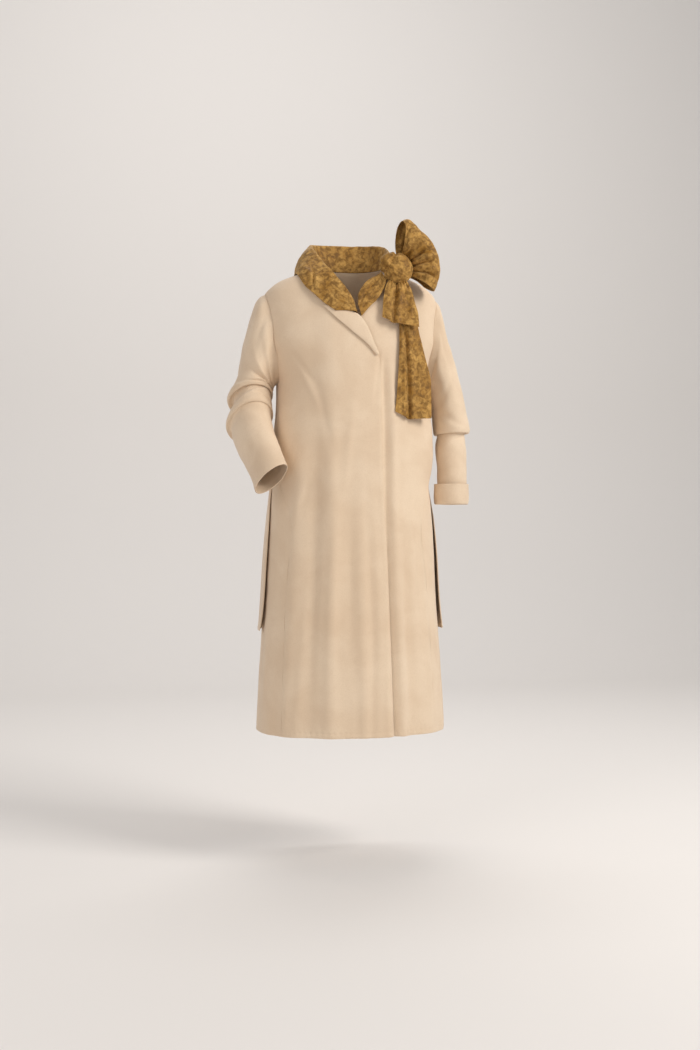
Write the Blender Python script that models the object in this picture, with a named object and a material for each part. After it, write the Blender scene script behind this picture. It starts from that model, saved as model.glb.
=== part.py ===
"""A long wrap coat of ivory wool whose velvet scarf collar is tied in a bow on the left shoulder.

The coat keeps its worn form and faces -Y. +X is the wearer's left, and all sizes are metres.
The origin lies midway between the shoulders, at the height where their slope begins, which is
where the wearer holds the coat up. A turn is an angle round the body seen from above: 0 at the
wearer's left, 90 at the back, 180 at the wearer's right and 270 at the front.
"""

import math

import bpy
import numpy as np

# Driving sizes
WOOL_WALL = 0.0020
VELVET_WALL = 0.0022
SEAM_GAP = 0.0003
ARMHOLE_GAP = 0.0008
COLLAR_GAP = 0.0013
HEM_HEIGHT = -1.095
NECK_HEIGHT = 0.045
ARMHOLE_TOP = -0.030
ARMHOLE_BOTTOM = -0.250
ARMHOLE_HALF_DEPTH = 0.065
RING_POWER = 2.3
FRONT_LAP = 0.0060
LAPEL_LIFT = 0.0028
ARMHOLE_STEPS = 11
SLEEVE_SIDES = 2 * ARMHOLE_STEPS

# Body rings from hem to neck: half widths to each side, and depths before and behind the axis
BODY_COLUMNS = ("height", "right", "left", "front", "back")
BODY_RINGS = (
    (-1.095, 0.232, 0.234, 0.168, 0.156),
    (-0.980, 0.226, 0.228, 0.162, 0.149),
    (-0.860, 0.218, 0.220, 0.156, 0.142),
    (-0.780, 0.213, 0.214, 0.152, 0.138),
    (-0.660, 0.207, 0.208, 0.147, 0.131),
    (-0.580, 0.202, 0.203, 0.144, 0.126),
    (-0.540, 0.199, 0.199, 0.142, 0.124),
    (-0.500, 0.196, 0.195, 0.141, 0.122),
    (-0.460, 0.197, 0.203, 0.140, 0.121),
    (-0.420, 0.195, 0.207, 0.139, 0.121),
    (-0.360, 0.189, 0.205, 0.138, 0.121),
    (-0.300, 0.184, 0.195, 0.136, 0.121),
    (-0.250, 0.183, 0.188, 0.134, 0.122),
    (-0.200, 0.198, 0.199, 0.131, 0.122),
    (-0.140, 0.220, 0.220, 0.126, 0.120),
    (-0.090, 0.222, 0.222, 0.118, 0.116),
    (-0.060, 0.221, 0.221, 0.109, 0.110),
    (-0.030, 0.213, 0.213, 0.098, 0.102),
    (-0.012, 0.197, 0.197, 0.091, 0.096),
    (0.002, 0.177, 0.177, 0.085, 0.091),
    (0.012, 0.154, 0.154, 0.080, 0.087),
    (0.022, 0.128, 0.128, 0.075, 0.082),
    (0.033, 0.102, 0.102, 0.069, 0.076),
    (0.045, 0.082, 0.082, 0.063, 0.070),
)

# Soft folds down the body: where each lies, how wide and deep, and where it fades in
FOLD_COLUMNS = ("turn", "half_width", "depth", "top", "full")
BODY_FOLDS = (
    (218.0, 6.0, 0.0045, -0.30, -0.55),
    (231.0, 5.0, -0.0050, -0.26, -0.60),
    (244.0, 6.0, 0.0040, -0.28, -0.50),
    (259.0, 6.0, -0.0035, -0.40, -0.80),
    (272.0, 5.0, 0.0030, -0.35, -0.70),
    (296.0, 3.2, -0.0060, -0.17, -0.24),
    (302.0, 4.0, 0.0040, -0.17, -0.30),
    (311.0, 5.0, -0.0050, -0.45, -1.00),
    (328.0, 6.0, 0.0030, -0.50, -0.90),
    (28.0, 7.0, -0.0045, -0.45, -0.85),
    (52.0, 8.0, 0.0050, -0.35, -0.80),
    (74.0, 7.0, -0.0050, -0.40, -0.85),
    (95.0, 8.0, 0.0055, -0.30, -0.75),
    (117.0, 7.0, -0.0045, -0.42, -0.90),
    (139.0, 8.0, 0.0045, -0.35, -0.80),
    (160.0, 7.0, -0.0040, -0.45, -0.85),
)

# Heights of the points up each body panel, below the armhole and above it
HEIGHTS_BELOW = (HEM_HEIGHT, -0.96, -0.83, -0.72, -0.63, -0.575, -0.54, -0.50, -0.46, -0.39, -0.31)
HEIGHTS_ABOVE = (-0.014, 0.004, 0.018, 0.032, NECK_HEIGHT)

# Side seam, as a turn in front of the side: it swings forward below the waist
SIDE_SEAM_COLUMNS = ("height", "forward")
SIDE_SEAM = (
    (-1.095, 32.0),
    (-0.950, 31.0),
    (-0.800, 30.0),
    (-0.700, 31.0),
    (-0.620, 33.5),
    (-0.575, 31.0),
    (-0.540, 26.5),
    (-0.500, 19.0),
    (-0.460, 13.0),
    (-0.390, 7.0),
    (-0.310, 3.0),
    (-0.250, 0.0),
)

# Where the columns of a front start, as a turn in front of the side, so that they stay straight
# beside the armhole
COLUMN_START_COLUMNS = ("height", "forward")
COLUMN_START = (
    (-1.095, 32.0),
    (-0.620, 33.0),
    (-0.460, 24.0),
    (-0.300, 20.0),
    (-0.140, 18.0),
    (-0.030, 9.0),
    (0.045, 0.0),
)

# Free edge of each front and, above it, the neckline, as a distance across from the middle
FRONT_EDGE_COLUMNS = ("height", "right_front", "left_front")
FRONT_EDGES = (
    (-1.095, 0.078, -0.045),
    (-0.780, 0.067, -0.045),
    (-0.480, 0.053, -0.045),
    (-0.300, 0.050, -0.044),
    (-0.200, 0.049, -0.040),
    (-0.187, 0.043, -0.036),
    (-0.160, 0.031, -0.026),
    (-0.125, 0.018, -0.012),
    (-0.100, 0.000, 0.002),
    (-0.088, -0.0125, 0.009),
    (-0.045, -0.038, 0.034),
    (-0.005, -0.062, 0.060),
    (0.030, -0.0765, 0.0755),
    (0.045, -0.0805, 0.0800),
)

# Turned-back lapel from the break up to under the collar: its fold line and its outer edge
LAPEL_COLUMNS = ("fold_x", "fold_z", "edge_x", "edge_z")
LAPEL_ROWS = (
    (0.0440, -0.1880, 0.0395, -0.1900),
    (0.0325, -0.1600, 0.0190, -0.1650),
    (0.0195, -0.1250, -0.0170, -0.1350),
    (0.0005, -0.0965, -0.0580, -0.0990),
    (-0.0320, -0.0800, -0.0850, -0.0700),
)

# Sleeves: each ring's outer and inner point seen from the front, measured out from the middle of
# the body, then the depth of its centre, its half depth, and how much its front is lifted
SLEEVE_COLUMNS = ("out_x", "out_z", "in_x", "in_z", "middle_y", "half_y", "lift")
SLEEVE_RIGHT = (
    (0.2260, -0.038, 0.1880, -0.2535, 0.000, 0.0670, 0.000),
    (0.2370, -0.055, 0.1895, -0.2560, 0.000, 0.0690, 0.000),
    (0.2470, -0.085, 0.1905, -0.2585, 0.000, 0.0700, 0.002),
    (0.2580, -0.125, 0.1915, -0.2610, 0.000, 0.0690, 0.006),
    (0.2680, -0.165, 0.1925, -0.2635, 0.002, 0.0680, 0.010),
    (0.2750, -0.205, 0.1930, -0.2665, 0.003, 0.0670, 0.015),
    (0.2790, -0.232, 0.1935, -0.2685, 0.003, 0.0660, 0.020),
    (0.2900, -0.256, 0.1935, -0.2705, 0.003, 0.0660, 0.025),
    (0.3020, -0.277, 0.1930, -0.2735, 0.001, 0.0650, 0.030),
    (0.3045, -0.287, 0.1925, -0.2780, -0.001, 0.0630, 0.032),
    (0.3010, -0.2935, 0.1945, -0.2830, -0.003, 0.0590, 0.032),
    (0.2920, -0.2900, 0.1985, -0.2790, -0.005, 0.0520, 0.031),
    (0.2880, -0.2960, 0.2000, -0.2820, -0.008, 0.0500, 0.031),
    (0.2920, -0.3120, 0.1985, -0.2930, -0.011, 0.0520, 0.034),
    (0.3000, -0.3300, 0.1960, -0.3080, -0.014, 0.0550, 0.040),
    (0.3080, -0.3460, 0.1940, -0.3240, -0.017, 0.0560, 0.044),
    (0.3070, -0.3550, 0.1950, -0.3320, -0.019, 0.0535, 0.045),
    (0.2980, -0.3540, 0.1990, -0.3300, -0.022, 0.0480, 0.043),
    (0.2945, -0.3620, 0.2000, -0.3370, -0.026, 0.0465, 0.041),
    (0.2940, -0.3780, 0.1985, -0.3530, -0.036, 0.0460, 0.037),
    (0.2850, -0.4110, 0.1935, -0.3830, -0.060, 0.0450, 0.030),
    (0.2680, -0.4480, 0.1860, -0.4130, -0.086, 0.0425, 0.027),
    (0.2560, -0.4780, 0.1785, -0.4380, -0.107, 0.0400, 0.026),
    (0.2495, -0.5095, 0.1715, -0.4625, -0.128, 0.0375, 0.025),
)
SLEEVE_LEFT = (
    (0.2245, -0.045, 0.1915, -0.2535, 0.000, 0.0670, 0.000),
    (0.2320, -0.075, 0.1935, -0.2560, 0.000, 0.0690, 0.000),
    (0.2385, -0.109, 0.1950, -0.2585, 0.000, 0.0690, 0.001),
    (0.2520, -0.150, 0.1965, -0.2620, 0.000, 0.0680, 0.002),
    (0.2665, -0.195, 0.1985, -0.2670, 0.000, 0.0670, 0.003),
    (0.2770, -0.238, 0.2010, -0.2760, -0.001, 0.0650, 0.003),
    (0.2870, -0.283, 0.2045, -0.2940, -0.002, 0.0630, 0.003),
    (0.2955, -0.320, 0.2080, -0.3200, -0.004, 0.0620, 0.002),
    (0.3015, -0.347, 0.2110, -0.3460, -0.006, 0.0600, 0.001),
    (0.3025, -0.358, 0.2120, -0.3620, -0.007, 0.0580, 0.001),
    (0.2995, -0.3645, 0.2145, -0.3690, -0.008, 0.0545, 0.001),
    (0.2920, -0.3610, 0.2190, -0.3655, -0.009, 0.0480, 0.001),
    (0.2885, -0.3680, 0.2195, -0.3720, -0.010, 0.0450, 0.001),
    (0.2905, -0.3900, 0.2160, -0.3940, -0.013, 0.0430, 0.000),
    (0.2920, -0.4250, 0.2160, -0.4280, -0.018, 0.0420, 0.000),
    (0.2915, -0.4570, 0.2180, -0.4570, -0.021, 0.0410, 0.000),
    (0.2905, -0.4900, 0.2180, -0.4900, -0.024, 0.0400, 0.000),
    (0.2905, -0.5340, 0.2170, -0.5340, -0.026, 0.0390, 0.000),
)
CUFF_LEFT = (
    (0.2950, -0.4925, 0.2095, -0.4920, -0.026, 0.0455, 0.000),
    (0.2955, -0.5150, 0.2085, -0.5150, -0.026, 0.0460, 0.000),
    (0.2950, -0.5375, 0.2095, -0.5375, -0.026, 0.0450, 0.000),
    (0.2928, -0.5425, 0.2118, -0.5425, -0.026, 0.0425, 0.000),
    (0.2896, -0.5420, 0.2150, -0.5420, -0.026, 0.0390, 0.000),
    (0.2880, -0.5369, 0.2168, -0.5369, -0.026, 0.0372, 0.000),
)

# Collar stations from the bottom of the V round the back of the neck to the knot: the seam, the
# roll line and the outer edge, the edge's distance from the body and the fullness of the fall
COLLAR_COLUMNS = (
    "seam_x", "seam_y", "seam_z", "roll_x", "roll_y", "roll_z",
    "edge_x", "edge_y", "edge_z", "edge_lift", "bulge",
)  # fmt: skip
COLLAR_ROWS = (
    (-0.0080, -0.112, -0.0905, -0.0045, -0.126, -0.0870, -0.057, -0.122, -0.086, 0.0125, 0.002),
    (-0.0150, -0.108, -0.0700, -0.0100, -0.120, -0.0600, -0.081, -0.118, -0.067, 0.0125, 0.004),
    (-0.0330, -0.098, -0.0400, -0.0280, -0.106, -0.0240, -0.104, -0.106, -0.043, 0.0105, 0.006),
    (-0.0530, -0.080, -0.0080, -0.0480, -0.086, 0.0060, -0.127, -0.088, -0.017, 0.0060, 0.008),
    (-0.0680, -0.052, 0.0220, -0.0670, -0.060, 0.0340, -0.136, -0.055, 0.006, 0.0036, 0.010),
    (-0.0760, -0.028, 0.0420, -0.0840, -0.031, 0.0660, -0.138, -0.020, 0.017, 0.0034, 0.012),
    (-0.0780, 0.000, 0.0480, -0.0930, 0.002, 0.0920, -0.136, 0.018, 0.018, 0.0034, 0.014),
    (-0.0710, 0.032, 0.0490, -0.0920, 0.037, 0.1070, -0.124, 0.062, 0.012, 0.0034, 0.014),
    (-0.0460, 0.058, 0.0490, -0.0620, 0.074, 0.1170, -0.085, 0.104, 0.000, 0.0034, 0.013),
    (0.0000, 0.067, 0.0490, 0.0000, 0.088, 0.1210, 0.000, 0.122, -0.010, 0.0034, 0.012),
    (0.0460, 0.058, 0.0490, 0.0620, 0.074, 0.1200, 0.085, 0.104, 0.004, 0.0034, 0.012),
    (0.0710, 0.032, 0.0490, 0.0900, 0.036, 0.1090, 0.119, 0.062, 0.019, 0.0034, 0.012),
    (0.0780, 0.000, 0.0480, 0.0930, 0.002, 0.0940, 0.126, 0.016, 0.030, 0.0034, 0.009),
    (0.0790, -0.028, 0.0440, 0.0895, -0.028, 0.0780, 0.114, -0.024, 0.038, 0.0036, 0.006),
    (0.0780, -0.054, 0.0400, 0.0850, -0.058, 0.0640, 0.104, -0.054, 0.037, 0.0060, 0.004),
    (0.0830, -0.082, 0.0320, 0.0920, -0.086, 0.0460, 0.106, -0.084, 0.036, 0.0300, 0.001),
)

# Velvet band from the bottom of the V up to the knot: both edges and its rise off the coat
BAND_COLUMNS = ("inner_x", "inner_z", "outer_x", "outer_z", "lift")
BAND_ROWS = (
    (-0.0010, -0.0720, 0.0070, -0.0990, 0.0026),
    (0.0020, -0.0450, 0.0255, -0.0780, 0.0030),
    (0.0190, -0.0120, 0.0440, -0.0580, 0.0060),
    (0.0440, 0.0090, 0.0580, -0.0380, 0.0100),
    (0.0720, 0.0280, 0.0700, -0.0020, 0.0180),
)
BAND_PLEATS = 3
BAND_PLEAT_DEPTH = 0.0028

# Knot: an egg whose long axis runs down to the wearer's left, grooved along that axis
KNOT_MIDDLE = (0.095, -0.101, 0.028)
KNOT_HALF_LENGTH = 0.043
KNOT_HALF_HEIGHT = 0.035
KNOT_HALF_DEPTH = 0.028
KNOT_TILT = -32.0
KNOT_GROOVES = 5
KNOT_GROOVE_DEPTH = 0.05
KNOT_TIGHT_DEPTH = 0.05
KNOT_FULLEST = 1.0

# Bow loop: a fan of cloth round the knot, from straight up to low on the wearer's left
LOOP_ROOT = (0.105, -0.079, 0.0316)
LOOP_START = 0.027
LOOP_FORWARD = 0.018
LOOP_CLEAR = 0.012
LOOP_GAP = 0.0020
LOOP_REACH = ((-40.0, 0.102), (-19.0, 0.099), (15.0, 0.097), (37.0, 0.098), (60.0, 0.100), (80.0, 0.114), (97.0, 0.092))
LOOP_FRONT_FAN = (-38.0, 80.0)
LOOP_BACK_FAN = (-30.0, 96.0)
LOOP_HALF_DEPTH = 0.030
LOOP_PINCH = 0.0045
LOOP_PUCKERS = 5
LOOP_PUCKER_DEPTH = 0.0045

# Hanging ends, from the knot to the hem: both edges, the long fold between the two leaves, depth
TAIL_COLUMNS = ("left_x", "left_z", "fold_x", "fold_z", "right_x", "right_z", "left_y", "right_y")
TAIL_SHORT = (
    (0.0800, 0.0040, 0.0980, 0.0030, 0.1180, 0.0000, -0.106, -0.106),
    (0.0660, -0.0250, 0.0930, -0.0330, 0.1320, -0.0300, -0.116, -0.115),
    (0.0600, -0.0550, 0.0880, -0.0620, 0.1375, -0.0600, -0.123, -0.124),
    (0.0570, -0.0820, 0.0840, -0.0900, 0.1450, -0.0900, -0.130, -0.128),
    (0.0555, -0.0975, 0.0815, -0.1100, 0.1465, -0.1185, -0.134, -0.130),
)
TAIL_LONG = (
    (0.0800, -0.0060, 0.1000, -0.0060, 0.1200, -0.0060, -0.090, -0.090),
    (0.0900, -0.0650, 0.1060, -0.0650, 0.1360, -0.0650, -0.113, -0.108),
    (0.0985, -0.1200, 0.1130, -0.1200, 0.1480, -0.1200, -0.123, -0.113),
    (0.0975, -0.1850, 0.1180, -0.1850, 0.1640, -0.1850, -0.129, -0.114),
    (0.0930, -0.2550, 0.1210, -0.2550, 0.1800, -0.2550, -0.134, -0.112),
    (0.0865, -0.3230, 0.1230, -0.3400, 0.1810, -0.3360, -0.137, -0.113),
)
TAIL_FOLD_DEPTH = 0.006
TAIL_FOLD_WIDTH = 0.005

# Layer over the back: its height, its stand-off, and where its lower corners end
FLOUNCE_COLUMNS = ("height", "lift", "corner_lift", "forward")
FLOUNCE_ROWS = (
    (-0.503, 0.0036, 0.0036, 4.0),
    (-0.540, 0.0052, 0.0048, 6.0),
    (-0.600, 0.0075, 0.0070, 9.0),
    (-0.680, 0.0090, 0.0090, 10.0),
    (-0.760, 0.0100, 0.0100, 10.0),
    (-0.820, 0.0105, 0.0115, 9.0),
    (-0.852, 0.0110, 0.0130, 6.0),
)
FLOUNCE_WAVES = 7
FLOUNCE_WAVE_DEPTH = 0.004

WOOL_COLOUR = (0.76, 0.59, 0.41)
VELVET_COLOUR = (0.44, 0.24, 0.045)


# Curves and tables


def columns(names, rows):
    """The table's columns by name."""
    return dict(zip(names, np.array(rows, dtype=float).T))


def smooth(stops, values, at):
    """Cubic curve through the stops that never overshoots them, read at the given places."""
    stops = np.asarray(stops, dtype=float)
    values = np.asarray(values, dtype=float)
    at = np.clip(np.asarray(at, dtype=float), stops[0], stops[-1])
    widths = np.diff(stops)
    slopes = np.diff(values) / widths
    before, after = slopes[:-1], slopes[1:]
    same_way = before * after > 0
    middle = np.where(same_way, 2 * before * after / np.where(same_way, before + after, 1), 0)
    bends = np.concatenate([slopes[:1], middle, slopes[-1:]])
    left = np.clip(np.searchsorted(stops, at, side="right") - 1, 0, len(widths) - 1)
    width = widths[left]
    along = (at - stops[left]) / width
    rest = 1 - along
    return (
        values[left] * rest * rest * (1 + 2 * along)
        + values[left + 1] * along * along * (1 + 2 * rest)
        + bends[left] * width * along * rest * rest
        - bends[left + 1] * width * along * along * rest
    )


def ease(amount):
    """0 to 1 with soft ends."""
    amount = np.clip(amount, 0, 1)
    return amount * amount * (3 - 2 * amount)


def mix(first, second, share):
    return first * (1 - share) + second * share


def along_rows(table, count):
    """The table read at evenly spread places from its first row to its last."""
    rows = len(next(iter(table.values())))
    places = np.linspace(0, rows - 1, count)
    return {name: smooth(np.arange(rows), values, places) for name, values in table.items()}


def point(*coordinates):
    return np.stack(np.broadcast_arrays(*coordinates), axis=-1)


# The coat's body surface

BODY = columns(BODY_COLUMNS, BODY_RINGS)
FOLDS = columns(FOLD_COLUMNS, BODY_FOLDS)


def drape(turn, height):
    """How far the soft folds push the cloth out at this turn and height."""
    pushed = np.zeros(np.broadcast(turn, height).shape)
    for centre, half_width, depth, top, full in BODY_FOLDS:
        away = np.remainder(np.degrees(turn) - centre + 180, 360) - 180
        pushed = pushed + depth * np.exp(-((away / half_width) ** 2)) * ease((top - height) / (top - full))
    return pushed


def ring_radius(turn, height):
    """Distance from the axis to the cloth: a squared-off ellipse, with the soft folds on it."""
    right, left, front, back = (smooth(BODY["height"], BODY[name], height) for name in BODY_COLUMNS[1:])
    across = np.cos(turn) / np.where(np.cos(turn) < 0, right, left)
    deep = np.sin(turn) / np.where(np.sin(turn) < 0, front, back)
    plain = (np.abs(across) ** RING_POWER + np.abs(deep) ** RING_POWER) ** (-1 / RING_POWER)
    return plain + drape(turn, height)


def coat_point(turn, height):
    radius = ring_radius(turn, height)
    return point(radius * np.cos(turn), radius * np.sin(turn), height)


def off_surface(points):
    """Each point's distance outside the body surface, and the way straight out from it."""

    def gap(at):
        turn = np.arctan2(at[..., 1], at[..., 0])
        return np.hypot(at[..., 0], at[..., 1]) - ring_radius(turn, at[..., 2])

    step = 0.0005
    slopes = []
    for axis in range(3):
        shift = np.zeros(3)
        shift[axis] = step
        slopes.append((gap(points + shift) - gap(points - shift)) / (2 * step))
    slope = np.stack(slopes, axis=-1)
    size = np.linalg.norm(slope, axis=-1, keepdims=True)
    return gap(points) / size[..., 0], slope / size


def set_off(points, lift, push_only=False):
    """The points moved straight out or in until they lie the given distance off the body."""
    for _ in range(5):
        distance, outward = off_surface(points)
        move = lift - distance
        if push_only:
            move = np.maximum(move, 0)
        points = points + outward * move[..., None]
    return points


def turn_where(axis, value, height, start, stop):
    """The turn between two given in degrees at which the cloth has this x or y, for each height."""
    turns = np.radians(np.linspace(start, stop, 241))
    found = []
    for wanted, level in zip(np.broadcast_to(value, np.shape(height)), height):
        reached = coat_point(turns, np.full(turns.shape, level))[:, axis]
        order = np.argsort(reached)
        found.append(np.interp(wanted, reached[order], turns[order]))
    return np.array(found)


def lap_lift(points):
    """How far the right front stands off where it laps over the left."""
    return FRONT_LAP * ease((points[..., 0] + 0.12) / 0.06) * ease(-points[..., 1] / 0.06)


# Walls


def blender_material(name, colour, roughness):
    material = bpy.data.materials.new(name)
    material.use_nodes = True
    shader = material.node_tree.nodes["Principled BSDF"]
    shader.inputs["Base Color"].default_value = (*colour, 1)
    shader.inputs["Roughness"].default_value = roughness
    shader.inputs["Metallic"].default_value = 0
    return material


def grid_normals(grid, around):
    """Straight out from the grid at each point, from the rows and columns beside it."""
    up = np.gradient(grid, axis=0)
    across = np.roll(grid, -1, axis=1) - np.roll(grid, 1, axis=1) if around else np.gradient(grid, axis=1)
    normal = np.cross(up, across)
    return normal / np.linalg.norm(normal, axis=-1, keepdims=True)


def add_wall(name, outer, thickness, colour, around=False, flip=False, outward=None):
    """A closed cloth wall: the outer grid, the same grid set back by the thickness, and its rims."""
    facing = grid_normals(outer, around)
    if outward is None:
        outward = -facing if flip else facing
    inner = outer - outward * thickness
    rows, across = outer.shape[:2]
    number = np.arange(rows * across).reshape(rows, across)
    if around:
        number = np.hstack([number, number[:, :1]])
    behind = number + rows * across
    strips = [
        (number[:-1, :-1], number[1:, :-1], number[1:, 1:], number[:-1, 1:]),
        (behind[:-1, 1:], behind[1:, 1:], behind[1:, :-1], behind[:-1, :-1]),
        (number[0, :-1], number[0, 1:], behind[0, 1:], behind[0, :-1]),
        (number[-1, 1:], number[-1, :-1], behind[-1, :-1], behind[-1, 1:]),
    ]
    if not around:
        strips += [
            (number[1:, 0], number[:-1, 0], behind[:-1, 0], behind[1:, 0]),
            (number[:-1, -1], number[1:, -1], behind[1:, -1], behind[:-1, -1]),
        ]
    threes = []
    for index, (a, b, c, d) in enumerate(strips):
        halves = ((b, c, d), (b, d, a)) if index == 1 else ((a, b, c), (a, c, d))
        threes += [np.stack(three, axis=-1).reshape(-1, 3) for three in halves]
    faces = np.concatenate(threes)
    if (facing * outward).sum() < 0:
        faces = faces[:, ::-1]
    mesh = bpy.data.meshes.new(name)
    mesh.from_pydata(np.concatenate([outer.reshape(-1, 3), inner.reshape(-1, 3)]).tolist(), [], faces.tolist())
    mesh.shade_smooth()
    mesh.set_sharp_from_angle(angle=math.radians(50))
    mesh.materials.append(blender_material(name, colour, 0.9))
    thing = bpy.data.objects.new(name, mesh)
    bpy.context.collection.objects.link(thing)
    return thing


def add_wool(name, grid, **ways):
    return add_wall(name, grid, WOOL_WALL, WOOL_COLOUR, **ways)


def add_velvet(name, grid, **ways):
    return add_wall(name, grid, VELVET_WALL, VELVET_COLOUR, **ways)


def body_normals(points):
    return off_surface(points)[1]


# Body panels


def armhole_depth(height):
    """Half the armhole's depth at this height, and 0 above and below it."""
    middle = (ARMHOLE_TOP + ARMHOLE_BOTTOM) / 2
    reach = (ARMHOLE_TOP - ARMHOLE_BOTTOM) / 2
    return ARMHOLE_HALF_DEPTH * np.sqrt(np.clip(1 - ((height - middle) / reach) ** 2, 0, 1))


def seam_gap_turn(height, side):
    """Half the seam gap as an angle at the given side."""
    return SEAM_GAP / 2 / ring_radius(np.full(height.shape, side), height)


def side_turns(height, front):
    """Where a front or back panel ends on the wearer's right: side seam, armhole, shoulder seam."""
    seam = columns(SIDE_SEAM_COLUMNS, SIDE_SEAM)
    depth = armhole_depth(height)
    below = math.pi + np.radians(smooth(seam["height"], seam["forward"], height))
    facing = 1 if front else -1
    at_hole = turn_where(1, -facing * depth, height, 180, 180 + facing * 80)
    gap = facing * seam_gap_turn(height, math.pi)
    turns = np.where(height < ARMHOLE_BOTTOM + 1e-6, below + gap, at_hole)
    return np.where(depth < 1e-9, np.where(height < ARMHOLE_BOTTOM + 1e-6, turns, math.pi + gap), turns)


def mirrored(turn):
    """The same turn on the wearer's other side."""
    return math.pi - turn


def panel_heights():
    """Heights up a panel: those beside the armhole match the points round it."""
    middle = (ARMHOLE_TOP + ARMHOLE_BOTTOM) / 2
    reach = (ARMHOLE_TOP - ARMHOLE_BOTTOM) / 2
    beside = middle - reach * np.cos(np.linspace(0, math.pi, ARMHOLE_STEPS + 1))
    return np.concatenate([HEIGHTS_BELOW, beside, HEIGHTS_ABOVE])


def front_grid(heights, edge, side, count):
    """Points of a front from its side to its free edge, at the given heights."""
    edge_turn = turn_where(0, edge, heights, 184, 356)[:, None]
    side_turn = side_turns(heights, front=True)[:, None]
    start = columns(COLUMN_START_COLUMNS, COLUMN_START)
    start_turn = math.pi + np.radians(smooth(start["height"], start["forward"], heights))[:, None]
    if side > 0:
        side_turn = 3 * math.pi - side_turn
        start_turn = 3 * math.pi - start_turn
    share = np.linspace(0, 1, count)[None, :]
    turns = mix(start_turn, edge_turn, share) + (side_turn - start_turn) * (1 - share) ** 5
    return coat_point(turns, np.broadcast_to(heights[:, None], turns.shape))


def add_fronts():
    edges = columns(FRONT_EDGE_COLUMNS, FRONT_EDGES)
    heights = panel_heights()
    right_edge = smooth(edges["height"], edges["right_front"], heights)
    right = front_grid(heights, right_edge, -1, 15)
    add_wool("front_right", set_off(right, lap_lift(right)), outward=body_normals(right))
    left_edge = smooth(edges["height"], edges["left_front"], heights)
    left = front_grid(heights, left_edge, 1, 13)
    add_wool("front_left", left, outward=body_normals(left))


def add_back():
    heights = panel_heights()
    right = side_turns(heights, front=False)[:, None]
    steady = math.pi + 0 * right
    share = np.linspace(0, 1, 27)[None, :]
    near = (1 - share) ** 5
    far = share**5
    turns = mix(steady, mirrored(steady), share)
    turns = turns + (right - steady) * near + (mirrored(right) - mirrored(steady)) * far
    grid = coat_point(turns, np.broadcast_to(heights[:, None], turns.shape))
    add_wool("back", grid, outward=body_normals(grid))


def add_flounce():
    rows = along_rows(columns(FLOUNCE_COLUMNS, FLOUNCE_ROWS), 8)
    share = np.linspace(0, 1, 33)[None, :]
    forward = np.radians(rows["forward"])[:, None]
    turns = mix(math.pi + forward, -forward, share)
    corner = np.abs(2 * share - 1) ** 6
    wave = np.cos(2 * math.pi * FLOUNCE_WAVES * share) * np.linspace(0, 1, 8)[:, None] ** 1.5
    lift = mix(rows["lift"][:, None], rows["corner_lift"][:, None], corner)
    lift = lift + FLOUNCE_WAVE_DEPTH * wave * (1 - corner)
    grid = coat_point(turns, np.broadcast_to(rows["height"][:, None], turns.shape))
    add_wool("back_flounce", set_off(grid, lift), flip=True)


def add_lapel():
    rows = along_rows(columns(LAPEL_COLUMNS, LAPEL_ROWS), 11)
    share = np.linspace(0, 1, 7)[None, :]
    x = mix(rows["fold_x"][:, None], rows["edge_x"][:, None], share)
    z = mix(rows["fold_z"][:, None], rows["edge_z"][:, None], share)
    grid = point(x, np.full(x.shape, -0.12), z)
    add_wool("lapel_right", set_off(grid, lap_lift(grid) + LAPEL_LIFT), flip=True)


# Sleeves


def sleeve_grid(names, rows, side):
    """Rings of points: each an ellipse through its outer and inner point, front lifted."""
    table = {name: values[:, None] for name, values in columns(names, rows).items()}
    angle = np.linspace(0, 2 * math.pi, SLEEVE_SIDES, endpoint=False)[None, :]
    outer = (1 + np.cos(angle)) / 2
    x = mix(table["in_x"], table["out_x"], outer)
    y = table["middle_y"] - table["half_y"] * np.sin(angle)
    z = mix(table["in_z"], table["out_z"], outer) + table["lift"] * np.sin(angle)
    return point(side * x, y, z)


def armhole_ring(side):
    """The armhole's curve on the body, just inside its edge."""
    angle = np.linspace(0, 2 * math.pi, SLEEVE_SIDES, endpoint=False)
    middle = (ARMHOLE_TOP + ARMHOLE_BOTTOM) / 2
    reach = (ARMHOLE_TOP - ARMHOLE_BOTTOM) / 2 - ARMHOLE_GAP
    height = middle + reach * np.cos(angle)
    depth = -(ARMHOLE_HALF_DEPTH - ARMHOLE_GAP) * np.sin(angle)
    turns = turn_where(1, depth, height, 100, 260)
    if side > 0:
        turns = mirrored(turns)
    return coat_point(turns, height)


def add_sleeves():
    for name, rows, side in (("sleeve_right", SLEEVE_RIGHT, -1), ("sleeve_left", SLEEVE_LEFT, 1)):
        rings = np.concatenate([armhole_ring(side)[None], sleeve_grid(SLEEVE_COLUMNS, rows, side)])
        outward = grid_normals(rings, True) * -side
        outward[0] = body_normals(rings[0])
        add_wool(name, rings, around=True, outward=outward)
    add_wool("cuff_left", sleeve_grid(SLEEVE_COLUMNS, CUFF_LEFT, 1), around=True, flip=True)


# Velvet collar, knot and bow


def under_collar(points):
    """Height of the cloth that the collar's fall lies on: the lapped front and the lapel."""
    on_right = ease((0.03 - points[..., 0]) / 0.02)
    near_lapel = ease((points[..., 0] + 0.13) / 0.03) * ease((-0.03 - points[..., 2]) / 0.02)
    return on_right * (lap_lift(points) + (LAPEL_LIFT + COLLAR_GAP) * near_lapel)


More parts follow.
